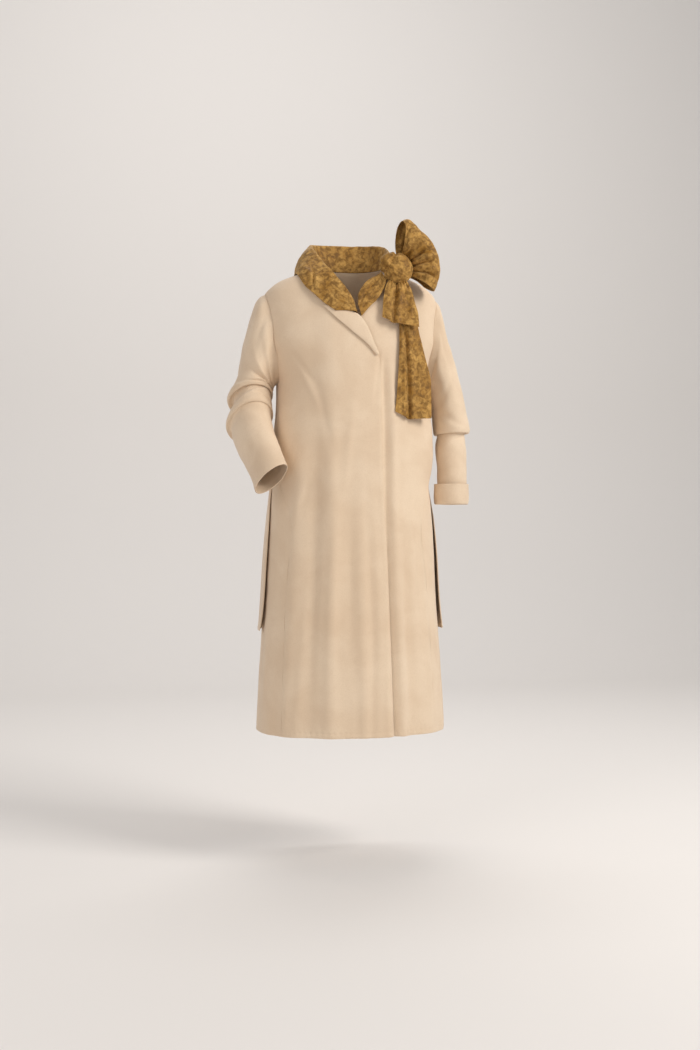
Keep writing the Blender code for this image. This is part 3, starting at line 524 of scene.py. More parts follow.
# Woven wool: two crossed sets of fine waves for the threads, fine fuzz, and slow cloudy shade
def woolWeaveGroup():
    group, start, end = newGroup(
        "woolWeave",
        [
            ("Vector", "NodeSocketVector", None),
            ("Thread Scale", "NodeSocketFloat", 900.0),
            ("Cloud Scale", "NodeSocketFloat", 9.0),
        ],
        [("Height", "NodeSocketFloat"), ("Cloud", "NodeSocketFloat"), ("Fleck", "NodeSocketFloat")],
    )
    vector = start.outputs["Vector"]
    threads = []
    for direction in ("X", "Z"):
        wave = group.nodes.new("ShaderNodeTexWave")
        wave.bands_direction = direction
        wave.inputs["Distortion"].default_value = 1.2
        wave.inputs["Detail"].default_value = 1.0
        group.links.new(start.outputs["Thread Scale"], wave.inputs["Scale"])
        group.links.new(vector, wave.inputs["Vector"])
        threads.append(wave.outputs["Fac"])
    woven = addMath(group, "ADD", threads[0], threads[1])
    fuzz = addNoise(group, vector, 420.0, 4.0, 0.65)
    height = addMath(group, "ADD", addMath(group, "MULTIPLY", woven, 0.25), fuzz)
    group.links.new(height, end.inputs["Height"])
    cloud = addNoise(group, vector, start.outputs["Cloud Scale"], 4.0, 0.55, 0.4)
    group.links.new(addRange(group, cloud, 0.3, 0.7), end.inputs["Cloud"])
    group.links.new(addRange(group, fuzz, 0.35, 0.75), end.inputs["Fleck"])
    return group


# Crushed nap: a stretched, bent noise for where the pile lies flat, and fine noise for the pile
def crushedNapGroup():
    group, start, end = newGroup(
        "crushedNap",
        [
            ("Vector", "NodeSocketVector", None),
            ("Patch Scale", "NodeSocketFloat", 24.0),
            ("Pile Scale", "NodeSocketFloat", 700.0),
        ],
        [("Patch", "NodeSocketFloat"), ("Streak", "NodeSocketFloat"), ("Height", "NodeSocketFloat")],
    )
    vector = start.outputs["Vector"]
    patch = addNoise(group, vector, start.outputs["Patch Scale"], 5.0, 0.6, 0.9)
    fine = addNoise(group, vector, 95.0, 4.0, 0.6, 0.6)
    pile = addNoise(group, vector, start.outputs["Pile Scale"], 2.0)
    group.links.new(addRange(group, patch, 0.33, 0.68), end.inputs["Patch"])
    group.links.new(addRange(group, fine, 0.36, 0.66), end.inputs["Streak"])
    coarse = addMath(group, "MULTIPLY", fine, 1.6)
    bumps = addMath(group, "ADD", coarse, addMath(group, "MULTIPLY", pile, 0.35))
    group.links.new(bumps, end.inputs["Height"])
    return group


# Wear and handling: faint spots of the shade, where noise is high
def handledGroup():
    group, start, end = newGroup(
        "handledShade",
        [
            ("Vector", "NodeSocketVector", None),
            ("Color", "NodeSocketColor", (0.8, 0.8, 0.8, 1)),
            ("Shade", "NodeSocketColor", (0.6, 0.6, 0.6, 1)),
            ("Amount", "NodeSocketFloat", 0.3),
        ],
        [("Color", "NodeSocketColor")],
    )
    vector = start.outputs["Vector"]
    stain = addNoise(group, vector, 14.0, 5.0, 0.65, 0.8)
    spots = addRange(group, stain, 0.55, 0.80)
    factor = addMath(group, "MULTIPLY", spots, start.outputs["Amount"])
    stained = addMix(group, factor, start.outputs["Color"], start.outputs["Shade"])
    group.links.new(stained, end.inputs["Color"])
    return group


woolWeave = woolWeaveGroup()
crushedNap = crushedNapGroup()
handledShade = handledGroup()

wool = {
    "colour": (0.730, 0.560, 0.395, 1),
    "light": (0.800, 0.640, 0.470, 1),
    "shade": (0.560, 0.390, 0.240, 1),
    "roughness": 0.92,
    "flecks": 0.22,
    "handling": 0.16,
    "sheen": 0.25,
    "bump": 0.22,
}
velvet = {
    "colour": (0.330, 0.160, 0.022, 1),
    "light": (0.560, 0.325, 0.095, 1),
    "shade": (0.095, 0.038, 0.004, 1),
    "roughness": (0.62, 0.92),
    "streaks": 0.72,
    "sheen": 0.50,
    "bump": 0.42,
}


# A material with its shader and the object's own coordinates
def newMaterial(name):
    material = bpy.data.materials.new(name)
    material.use_nodes = True
    tree = material.node_tree
    shader = tree.nodes["Principled BSDF"]
    place = tree.nodes.new("ShaderNodeTexCoord").outputs["Object"]
    return material, tree, shader, place


# A node that runs the group with these input values
def useGroup(tree, group, **values):
    node = tree.nodes.new("ShaderNodeGroup")
    node.node_tree = group
    for name, value in values.items():
        node.inputs[name].default_value = value
    return node


# The shader's normal tipped by the slope of a height
def addBump(tree, shader, height, strength, distance):
    bump = tree.nodes.new("ShaderNodeBump")
    bump.inputs["Strength"].default_value = strength
    bump.inputs["Distance"].default_value = distance
    tree.links.new(height, bump.inputs["Height"])
    tree.links.new(bump.outputs["Normal"], shader.inputs["Normal"])


# Base colour times the tint, which paints shade where it is below 1, clouded to the light one, flecked
# and handled to the shade
def woolMaterial(name, tint=1.0):
    material, tree, shader, place = newMaterial(name)
    weave = useGroup(tree, woolWeave)
    tree.links.new(place, weave.inputs["Vector"])
    tinted = tuple(channel * tint for channel in wool["colour"][:3]) + (1,)
    cloudy = addMix(tree, weave.outputs["Cloud"], tinted, wool["light"])
    fleck = addMath(tree, "MULTIPLY", weave.outputs["Fleck"], wool["flecks"])
    flecked = addMix(tree, fleck, cloudy, wool["shade"])
    handled = useGroup(tree, handledShade, Shade=wool["shade"], Amount=wool["handling"])
    tree.links.new(place, handled.inputs["Vector"])
    tree.links.new(flecked, handled.inputs["Color"])
    tree.links.new(handled.outputs["Color"], shader.inputs["Base Color"])
    shader.inputs["Roughness"].default_value = wool["roughness"]
    shader.inputs["Sheen Weight"].default_value = wool["sheen"]
    shader.inputs["Sheen Roughness"].default_value = 0.6
    shader.inputs["Specular IOR Level"].default_value = 0.25
    addBump(tree, shader, weave.outputs["Height"], wool["bump"], 0.0012)
    return material


# Patches of light and middle colour where the pile lies, streaked with the shade
def velvetMaterial(name):
    material, tree, shader, place = newMaterial(name)
    nap = useGroup(tree, crushedNap)
    tree.links.new(place, nap.inputs["Vector"])
    patched = addMix(tree, nap.outputs["Patch"], velvet["colour"], velvet["light"])
    streak = addMath(tree, "MULTIPLY", nap.outputs["Streak"], velvet["streaks"])
    streaked = addMix(tree, streak, patched, velvet["shade"])
    tree.links.new(streaked, shader.inputs["Base Color"])
    rough = addRange(tree, nap.outputs["Patch"], 0.0, 1.0, *velvet["roughness"])
    tree.links.new(rough, shader.inputs["Roughness"])
    shader.inputs["Sheen Weight"].default_value = velvet["sheen"]
    shader.inputs["Sheen Roughness"].default_value = 0.32
    shader.inputs["Sheen Tint"].default_value = (1.0, 0.76, 0.42, 1)
    shader.inputs["Specular IOR Level"].default_value = 0.30
    addBump(tree, shader, nap.outputs["Height"], velvet["bump"], 0.0016)
    return material


woolCloth = woolMaterial("ivoryWool")
# The sleeves' wool is the same cloth darkened by the tint 0.97: painted shade
woolPaintedShade = woolMaterial("ivoryWoolSleevePaintedShade", 0.97)
velvetCloth = velvetMaterial("ochreVelvet")
print("finishes made")


# Cloth walls


# The way each point of a grid faces: the cross product of its two directions
def gridNormals(grid, around):
    up = np.gradient(grid, axis=0)
    if around:
        across = np.roll(grid, -1, axis=1) - np.roll(grid, 1, axis=1)
    else:
        across = np.gradient(grid, axis=1)
    normal = np.cross(up, across)
    return normal / np.maximum(np.linalg.norm(normal, axis=-1, keepdims=True), 1e-9)


# A closed wall: the outer grid, the same grid set back by the thickness, and the rims between
def clothMesh(name, outer, thickness, around, flip, outward):
    facing = gridNormals(outer, around)
    if outward is None:
        outward = -facing if flip else facing
    inner = outer - outward * thickness
    rows, across = outer.shape[:2]
    number = np.arange(rows * across).reshape(rows, across)
    if around:
        number = np.hstack([number, number[:, :1]])
    behind = number + rows * across
    strips = [
        (number[:-1, :-1], number[1:, :-1], number[1:, 1:], number[:-1, 1:]),
        (behind[:-1, 1:], behind[1:, 1:], behind[1:, :-1], behind[:-1, :-1]),
        (number[0, :-1], number[0, 1:], behind[0, 1:], behind[0, :-1]),
        (number[-1, 1:], number[-1, :-1], behind[-1, :-1], behind[-1, 1:]),
    ]
    if not around:
        strips += [
            (number[1:, 0], number[:-1, 0], behind[:-1, 0], behind[1:, 0]),
            (number[:-1, -1], number[1:, -1], behind[1:, -1], behind[:-1, -1]),
        ]
    faces = np.concatenate([np.stack(strip, axis=-1).reshape(-1, 4) for strip in strips])
    if (facing * outward).sum() < 0:
        faces = faces[:, ::-1]
    points = np.concatenate([outer.reshape(-1, 3), inner.reshape(-1, 3)])
    mesh = bpy.data.meshes.new(name)
    mesh.vertices.add(len(points))
    mesh.vertices.foreach_set("co", points.astype(np.float32).ravel())
    mesh.loops.add(faces.size)
    mesh.loops.foreach_set("vertex_index", faces.astype(np.int32).ravel())
    mesh.polygons.add(len(faces))
    mesh.polygons.foreach_set("loop_start", np.arange(0, faces.size, 4, dtype=np.int32))
    mesh.update(calc_edges=True)
    mesh.validate()
    mesh.shade_smooth()
    mesh.set_sharp_from_angle(angle=math.radians(60))
    return mesh


# A named piece that stands for one solid and rides on the coat's body
def addPiece(name, mesh, material, node):
    piece = bpy.data.objects.new(name, mesh)
    bpy.context.collection.objects.link(piece)
    mesh.materials.append(material)
    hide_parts(node)
    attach(piece, "root")
    return piece


# A closed cloth wall, as thick as its material's wall, made into a piece
def addSheet(name, node, outer, material, around=False, flip=False, outward=None):
    wall = coat["velvetWall"] if material == velvetCloth else coat["woolWall"]
    mesh = clothMesh(name, outer, wall, around, flip, outward)
    piece = addPiece(name, mesh, material, node)
    print("made", name)
    return piece


# Body panels


# Half the armhole's width at a height: an upright half ellipse
def armholeDepth(height):
    middle = (coat["armholeTop"] + coat["armholeBottom"]) / 2
    reach = (coat["armholeTop"] - coat["armholeBottom"]) / 2
    return coat["armholeHalfDepth"] * np.sqrt(np.clip(1 - ((height - middle) / reach) ** 2, 0, 1))


# Where a front or back panel ends on the wearer's right: side seam, armhole, shoulder seam
def sideTurns(height, front):
    seam = columnsOf(sideSeamColumns, sideSeam)
    depth = armholeDepth(height)
    facing = 1 if front else -1
    below = math.pi + np.radians(smoothCurve(seam["height"], seam["forward"], height))
    atHole = turnWhere(1, -facing * depth, height, 180, 180 + facing * 80)
    gap = facing * coat["seamGap"] / 2 / ringRadius(np.full(height.shape, math.pi), height)
    turns = np.where(height < coat["armholeBottom"] + 1e-6, below + gap, atHole)
    upper = (depth < 1e-9) & (height >= coat["armholeBottom"] + 1e-6)
    return np.where(upper, math.pi + gap, turns)


# Rows up a panel: close at the hem, even to the armhole, then by its curve
def panelHeights(steps):
    middle = (coat["armholeTop"] + coat["armholeBottom"]) / 2
    reach = (coat["armholeTop"] - coat["armholeBottom"]) / 2
    hem = np.linspace(hemHeight, hemHeight + 0.022, 12)
    below = np.linspace(hemHeight + 0.028, coat["armholeBottom"] - 0.006, 104)
    beside = middle - reach * np.cos(np.linspace(0, math.pi, steps + 1))
    above = np.linspace(coat["armholeTop"], coat["neckHeight"], 17)[1:]
    return np.concatenate([hem, below, beside, above])


hemStitch = {"height": 0.011, "width": 0.0016, "depth": 0.0006, "pucker": 0.0007, "puckerLength": 0.013}


# The hem: a stitched groove, small puckers beside it, and a rounded lower edge
def hemRelief(points, bottom):
    rise = points[..., 2] - bottom
    along = np.cumsum(np.linalg.norm(np.diff(points, axis=1, prepend=points[:, :1]), axis=-1), axis=1)
    groove = -hemStitch["depth"] * bell(rise - hemStitch["height"], hemStitch["width"])
    ripple = np.sin(6.28 * along / hemStitch["puckerLength"] + 1.5 * np.sin(along / 0.031))
    pucker = hemStitch["pucker"] * ripple * bell(rise - hemStitch["height"], 0.006)
    return groove + pucker * (0.5 + 0.5 * np.sin(along / 0.047)) - 0.0008 * bell(rise, 0.0015)


# Depth times a bell of the distance to each side edge, so that edges round off
def edgeRoll(points, width=0.004, depth=0.0009, left=True, right=True):
    along = np.cumsum(np.linalg.norm(np.diff(points, axis=1, prepend=points[:, :1]), axis=-1), axis=1)
    rolled = np.zeros(along.shape)
    if left:
        rolled = rolled - depth * bell(along, width)
    if right:
        rolled = rolled - depth * bell(along[:, -1:] - along, width)
    return rolled


armholeSteps = 40


# A front's turns run from its column starts to its free edge, and bend to the side at the end
def frontGrid(heights, edge, side, count):
    edgeTurn = turnWhere(0, edge, heights, 184, 356)[:, None]
    sideTurn = sideTurns(heights, front=True)[:, None]
    start = columnsOf(columnStartColumns, columnStart)
    startTurn = math.pi + np.radians(smoothCurve(start["height"], start["forward"], heights))[:, None]
    if side > 0:
        sideTurn = 3 * math.pi - sideTurn
        startTurn = 3 * math.pi - startTurn
    share = np.linspace(0, 1, count)[None, :]
    turns = mixed(startTurn, edgeTurn, share) + (sideTurn - startTurn) * (1 - share) ** 5
    return coatPoint(turns, np.broadcast_to(heights[:, None], turns.shape))


# Soft creases on the fronts: across, height, slope, half width, half length, depth
frontCreases = (
    (0.044, -0.230, 0.10, 0.0060, 0.050, -0.0016),
    (-0.030, -0.420, 0.12, 0.0120, 0.120, 0.0014),
    (-0.085, -0.330, -0.22, 0.0100, 0.080, -0.0014),
    (-0.120, -0.260, -0.45, 0.0080, 0.050, 0.0014),
    (-0.135, -0.215, -0.70, 0.0070, 0.040, -0.0012),
    (-0.060, -0.700, 0.05, 0.0140, 0.160, 0.0012),
    (0.030, -0.820, -0.04, 0.0120, 0.200, -0.0012),
    (0.110, -0.300, 0.25, 0.0090, 0.070, 0.0014),
    (0.130, -0.260, 0.50, 0.0080, 0.050, -0.0014),
    (0.105, -0.560, 0.08, 0.0110, 0.120, 0.0012),
    (0.150, -0.780, -0.05, 0.0120, 0.180, -0.0014),
    (-0.150, -0.560, 0.15, 0.0110, 0.080, 0.0016),
    (-0.125, -0.520, 0.35, 0.0080, 0.050, -0.0012),
)


# Depth times a bell across each crease and a bell along it
def creaseRelief(points, creases):
    pushed = np.zeros(points.shape[:-1])
    for x, z, slope, halfWidth, halfLength, depth in creases:
        drop = points[..., 2] - z
        away = points[..., 0] - x - slope * drop
        depth = depth * coat["creaseStrength"]
        pushed = pushed + depth * bell(away, halfWidth) * bell(drop, halfLength)
    return pushed


# Both fronts: the body surface with its hem, creases and rolled edges
def addFronts():
    edges = columnsOf(frontEdgeColumns, frontEdges)
    heights = panelHeights(armholeSteps)
    for name, node, side, edge, cut, count in (
        ("rightFront", "front_right", -1, "rightFront", "frontRight", 88),
        ("leftFront", "front_left", 1, "leftFront", "frontLeft", 80),
    ):
        grid = frontGrid(heights, smoothCurve(edges["height"], edges[edge], heights), side, count)
        outward = offSurface(grid)[1]
        relief = hemRelief(grid, hemHeight) + creaseRelief(grid, frontCreases)
        relief = relief + edgeRoll(grid) + 0.0006 * waver(grid, 0.09)
        lift = lapLift(grid) if side < 0 else 0 * relief
        grid = setOff(grid, lift + relief)
        addSheet(name, node, grid, woolCloth, outward=outward)


# The back: turns run evenly from one side seam to the other
def addBack():
    heights = panelHeights(armholeSteps)
    right = sideTurns(heights, front=False)[:, None]
    steady = math.pi + 0 * right
    share = np.linspace(0, 1, 170)[None, :]
    turns = mixed(steady, math.pi - steady, share)
    turns = turns + (right - steady) * (1 - share) ** 5 - (right - steady) * share**5
    grid = coatPoint(turns, np.broadcast_to(heights[:, None], turns.shape))
    outward = offSurface(grid)[1]
    backCreases = [(x, z, slope, w, l, depth) for x, z, slope, w, l, depth in frontCreases[3:]]
    relief = hemRelief(grid, hemHeight) + edgeRoll(grid) + 0.0006 * waver(grid, 0.09, 1.0)
    wider = grid * np.array([0.9, 1, 1])
    relief = relief + creaseRelief(wider, backCreases) * ease(grid[..., 1] / 0.05)
    addSheet("backPanel", "back", setOff(grid, relief), woolCloth, outward=outward)


flounce = {
    "waves": 7,
    "waveDepth": 0.004,
    "gathers": 46,
    "gatherDepth": 0.0005,
    "gatherReach": 0.030,
    "seamHeight": -0.503,
}


# The layer over the back: the body surface lifted by its stand-off, with waves that grow down
def addFlounce():
    rows = alongRows(columnsOf(flounceColumns, flounceRows), 60)
    share = np.linspace(0, 1, 170)[None, :]
    forward = np.radians(rows["forward"])
    turns = mixed(math.pi + forward, -forward, share)
    corner = np.abs(2 * share - 1) ** 6
    wave = np.cos(2 * math.pi * flounce["waves"] * share + 0.6 * np.sin(9 * share))
    wave = wave * np.linspace(0, 1, 60)[:, None] ** 1.5
    lift = mixed(rows["lift"], rows["cornerLift"], corner) + flounce["waveDepth"] * wave * (1 - corner)
    grid = coatPoint(turns, np.broadcast_to(rows["height"], turns.shape))
    bottom = rows["height"].min()
    relief = hemRelief(grid, bottom) + edgeRoll(grid, 0.003, 0.0006)
    gather = np.sin(2 * math.pi * flounce["gathers"] * share + 2 * np.sin(11 * share))
    gather = gather * bell(rows["height"] - flounce["seamHeight"], flounce["gatherReach"])
    grid = setOff(grid, lift + relief + flounce["gatherDepth"] * gather)
    addSheet("backFlounce", "back_flounce", grid, woolCloth, flip=True)


# The lapel: straight from fold to edge on each row, laid on the right front
def addLapel():
    rows = alongRows(columnsOf(lapelColumns, lapelRows), 60)
    share = np.linspace(0, 1, 36)[None, :]
    x = mixed(rows["foldX"], rows["edgeX"], share)
    z = mixed(rows["foldZ"], rows["edgeZ"], share)
    grid = pointsAt(x, -0.12, z)
    rounded = -0.0016 * bell(share, 0.05) - 0.0004 * bell(1 - share, 0.04)
    soft = 0.0012 * np.sin(math.pi * share) + 0.0004 * waver(grid, 0.03)
    grid = setOff(grid, lapLift(grid) + coat["lapelLift"] + rounded + soft)
    addSheet("lapel", "lapel_right", grid, woolCloth, flip=True)


addFronts()
addBack()
addFlounce()
addLapel()


# Sleeves

sleeveSides = 104
sleeveRows = 190

# Creases round a sleeve: ring, angle, spread, climb, width in rings, depth.
# The angle is 0 at the sleeve's outer side and 90 at its front; climb tilts the crease.
rightCreases = (
    (1.6, 62, 9, 0.0, 2.2, -0.0030),
    (1.9, 38, 8, 0.0, 2.0, 0.0022),
    (2.2, 95, 10, 0.0, 2.4, 0.0018),
    (4.5, 120, 40, 1.4, 0.7, -0.0026),
    (5.8, 100, 55, 1.6, 0.6, 0.0028),
    (6.9, 85, 60, 1.5, 0.5, -0.0030),
    (7.8, 130, 45, -1.2, 0.45, 0.0026),
    (8.6, 60, 50, 1.0, 0.4, -0.0020),
    (13.4, 100, 50, -1.4, 0.5, -0.0028),
    (14.4, 70, 55, -1.1, 0.5, 0.0028),
    (15.0, 130, 40, 1.2, 0.4, -0.0024),
    (19.2, 60, 45, 0.9, 0.5, 0.0020),
    (19.9, 110, 50, 1.1, 0.5, -0.0024),
    (20.8, 80, 40, 0.8, 0.5, 0.0016),
    (22.2, 120, 45, 0.7, 0.4, -0.0014),
    (7.2, 250, 60, -1.3, 0.6, -0.0026),
    (5.4, 285, 50, 1.2, 0.7, 0.0024),
    (14.2, 260, 60, 1.2, 0.5, -0.0024),
    (20.2, 250, 50, -0.9, 0.6, 0.0020),
)
leftCreases = (
    (2.0, 70, 10, 0.0, 2.6, -0.0024),
    (2.6, 45, 9, 0.0, 3.0, 0.0022),
    (4.0, 110, 12, 0.0, 3.0, 0.0020),
    (6.6, 120, 45, 1.4, 0.5, -0.0022),
    (7.5, 75, 55, 1.1, 0.45, 0.0024),
    (8.3, 120, 50, -1.0, 0.4, -0.0022),
    (13.3, 70, 50, 0.8, 0.4, -0.0020),
    (13.9, 115, 45, 0.9, 0.4, 0.0018),
    (15.2, 60, 40, -0.5, 0.4, -0.0014),
    (7.2, 255, 60, -1.2, 0.6, -0.0024),
    (5.8, 285, 50, 1.0, 0.7, 0.0022),
    (13.8, 250, 55, 0.8, 0.4, -0.0020),
)


# Each ring is an ellipse through its outer and inner point, tilted by its lift
def sleeveGrid(rows, side, sides):
    table = {name: values[:, None] for name, values in columnsOf(sleeveColumns, rows).items()}
    angle = np.linspace(0, 2 * math.pi, sides, endpoint=False)[None, :]
    outer = (1 + np.cos(angle)) / 2
    x = mixed(table["inX"], table["outX"], outer)
    y = table["middleY"] - table["halfY"] * np.sin(angle)
    z = mixed(table["inZ"], table["outZ"], outer) + table["lift"] * np.sin(angle)
    return pointsAt(side * x, y, z)


# The sleeve's first ring, which follows the armhole on the body surface
def armholeRing(side, sides):
    angle = np.linspace(0, 2 * math.pi, sides, endpoint=False)
    middle = (coat["armholeTop"] + coat["armholeBottom"]) / 2
    reach = (coat["armholeTop"] - coat["armholeBottom"]) / 2 - coat["seamGap"]
    height = middle + reach * np.cos(angle)
    halfDepth = coat["armholeHalfDepth"] - coat["seamGap"]
    turns = turnWhere(1, -halfDepth * np.sin(angle), height, 100, 260)
    return coatPoint(math.pi - turns if side > 0 else turns, height)


# Each crease is a soft band round part of the sleeve: a bell along the rings times one round it
def sleeveRelief(creases, rings, count, sides):
    place = np.linspace(0, rings - 1, count)[:, None]
    angle = np.linspace(0, 360, sides, endpoint=False)[None, :]
    pushed = np.zeros((count, sides))
    for ring, centre, spread, climb, width, depth in creases:
        away = np.remainder(angle - centre + 180, 360) - 180
        run = place - ring - climb * np.sin(np.radians(away)) * (spread > 20)
        pushed = pushed + coat["sleeveCreaseStrength"] * depth * bell(run, width) * bell(away, spread)
    return pushed


# Both sleeves and the cuff: rings on smooth curves, pushed out and in by their creases
def addSleeves():
    for name, node, side, rows, creases, cut in (
        ("rightSleeve", "sleeve_right", -1, sleeveRightRings, rightCreases, "right"),
        ("leftSleeve", "sleeve_left", 1, sleeveLeftRings, leftCreases, "left"),
    ):
        first = armholeRing(side, sleeveSides)[None]
        rings = np.concatenate([first, sleeveGrid(rows, side, sleeveSides)])
        grid = fineRows(rings, sleeveRows)
        outward = gridNormals(grid, True) * -side
        relief = sleeveRelief(creases, len(rings), sleeveRows, sleeveSides)
        relief = relief + 0.0009 * waver(grid, 0.06) * ease(np.linspace(0, 6, sleeveRows))[:, None]
        fromEnd = np.linspace(1, 0, sleeveRows)[:, None] * sleeveRows
        relief = relief - 0.0006 * bell(fromEnd - 5, 1.2) - 0.0006 * bell(fromEnd, 1.5)
        fromStart = np.arange(sleeveRows)[:, None]
        relief = (relief - 0.0008 * bell(fromStart, 1.5)) * ease(fromStart / 2)
        grid = grid + outward * relief[..., None]
        outward = gridNormals(grid, True) * -side
        outward[0] = offSurface(grid[0])[1]
        addSheet(name, node, grid, woolPaintedShade, around=True, outward=outward)
    cuff = fineRows(sleeveGrid(cuffRings, 1, 96), 60)
    soft = 0.0007 * waver(cuff, 0.04, 2.0) - 0.0005 * bell(np.linspace(0, 5, 60) - 0.35, 0.06)[:, None]
    cuff = cuff + gridNormals(cuff, True) * -soft[..., None]
    addSheet("turnedCuff", "cuff_left", cuff, woolPaintedShade, around=True, flip=True)


addSleeves()


# Velvet collar, band, knot and bow

knotShape = {
    "middle": (0.095, -0.101, 0.028),
    "halfLength": 0.043,
    "halfHeight": 0.035,
    "halfDepth": 0.028,
    "tilt": -32.0,
    "waist": -0.42,
    "wrinkles": 9,
}


# The knot's own three directions: its long axis is tilted
def knotFrame():
    tilt = math.radians(knotShape["tilt"])
    across, up = math.cos(tilt), math.sin(tilt)
    return np.array([[across, 0, up], [0, 1, 0], [-up, 0, across]])


# Points inside the knot's ellipsoid, grown by the gap, moved out on to it
def offKnot(points, gap):
    sizes = np.array([knotShape["halfLength"], knotShape["halfDepth"], knotShape["halfHeight"]]) * 0.985
    sizes = sizes + coat["velvetWall"] + gap
    local = (points - np.array(knotShape["middle"])) @ knotFrame().T / sizes
    size = np.linalg.norm(local, axis=-1, keepdims=True)
    local = local * np.maximum(1, 1 / np.maximum(size, 0.05))
    return (local * sizes) @ knotFrame() + np.array(knotShape["middle"])


# How far the collar's fall rides off the body over the right front and its lapel
def underCollar(points):
    onRight = ease((0.03 - points[..., 0]) / 0.02)
    nearLapel = ease((points[..., 0] + 0.13) / 0.03) * ease((-0.03 - points[..., 2]) / 0.02)
    return onRight * (lapLift(points) + (coat["lapelLift"] + 0.0016) * nearLapel)


# Creases on the collar's fall: across, height, slope, half width, half length, depth
collarCreases = (
    (-0.104, -0.004, 0.10, 0.0028, 0.015, -0.0042),
    (-0.109, -0.002, 0.12, 0.0040, 0.018, 0.0022),
    (-0.098, -0.004, 0.08, 0.0040, 0.016, 0.0020),
    (-0.085, -0.030, 0.60, 0.0060, 0.020, -0.0016),
    (-0.060, -0.055, 0.80, 0.0060, 0.018, 0.0016),
    (-0.050, -0.040, 0.90, 0.0050, 0.018, -0.0014),
    (-0.115, 0.020, -0.30, 0.0070, 0.018, 0.0018),
)


# The collar: straight up from seam to roll, then a bent curve out and down to the edge
def addCollar():
    count = 190
    rows = alongRows(columnsOf(collarColumns, collarStations), count)
    seam, roll, edge = (
        pointsAt(rows[line + "X"], rows[line + "Y"], rows[line + "Z"])
        for line in ("seam", "roll", "edge")
    )
    seamTurns = np.arctan2(seam[..., 1], seam[..., 0])
    neckline = coatPoint(seamTurns, np.full(seam.shape[:2], coat["neckHeight"]))
    neckline = neckline + np.array([0, 0, 4 * coat["seamGap"]])
    seam = mixed(seam, neckline, ease((seam[..., 2:] - 0.030) / 0.012))
    edge = setOff(edge, rows["edgeLift"])
    outward = np.array([1, 1, 0]) * (edge - seam)
    outward = outward / np.linalg.norm(outward, axis=-1, keepdims=True)
    standShare = np.linspace(0, 0.92, 18)[None, :, None]
    stand = mixed(seam, roll, standShare)
    fallShare = np.linspace(0.04, 1, 46)[None, :, None]
    control = (roll + edge) / 2 + (outward * 0.7 + np.array([0, 0, 0.7])) * rows["bulge"][..., None] * 2
    fall = roll * (1 - fallShare) ** 2 + control * 2 * fallShare * (1 - fallShare) + edge * fallShare**2
    fall = setOff(fall, coat["velvetWall"] + 0.0013 + underCollar(fall), pushOnly=True)
    grid = np.concatenate([stand, fall], axis=1)
    facing = gridNormals(grid, False)
    relief = creaseRelief(grid, collarCreases) * ease((-0.01 - grid[..., 1]) / 0.03)
    relief = np.maximum(relief, -0.0034) + 0.0007 * waver(grid, 0.035)
    relief = relief + 0.0005 * waver(grid, 0.016, 2.0)
    inwards = ease((np.arange(64) - 60) / 3)[None, :]
    relief = relief * (1 - 0.6 * inwards) + 0.0005
    grid = offKnot(grid + facing * relief[..., None], coat["seamGap"])
    addSheet("scarfCollar", "collar", grid, velvetCloth)


bandShape = {"pleats": 3, "pleatDepth": 0.0036, "fine": 0.0007}


# The band: straight across from edge to edge, raised in lengthwise pleats
def addBand():
    count = 80
    rows = alongRows(columnsOf(bandColumns, bandRows), count)
    share = np.linspace(0, 1, 72)[None, :]
    place = np.linspace(0, 1, count)[:, None]
    x = mixed(rows["innerX"], rows["outerX"], share)
    z = mixed(rows["innerZ"], rows["outerZ"], share)
    grow = ease(2.2 * place)
    bent = share + 0.035 * np.sin(5 * place + 2)
    ridge = np.abs(np.sin(math.pi * bandShape["pleats"] * bent)) ** 1.3
    pleat = bandShape["pleatDepth"] * grow * ridge
    fine = bandShape["fine"] * np.sin(2 * math.pi * 11 * bent + 3 * place) * ease(place * 1.5)
    grid = setOff(pointsAt(x, -0.1, z), rows["lift"] + pleat + fine)
    grid = offKnot(grid, coat["seamGap"])
    addSheet("gatheredBand", "collar_band_left", grid, velvetCloth)


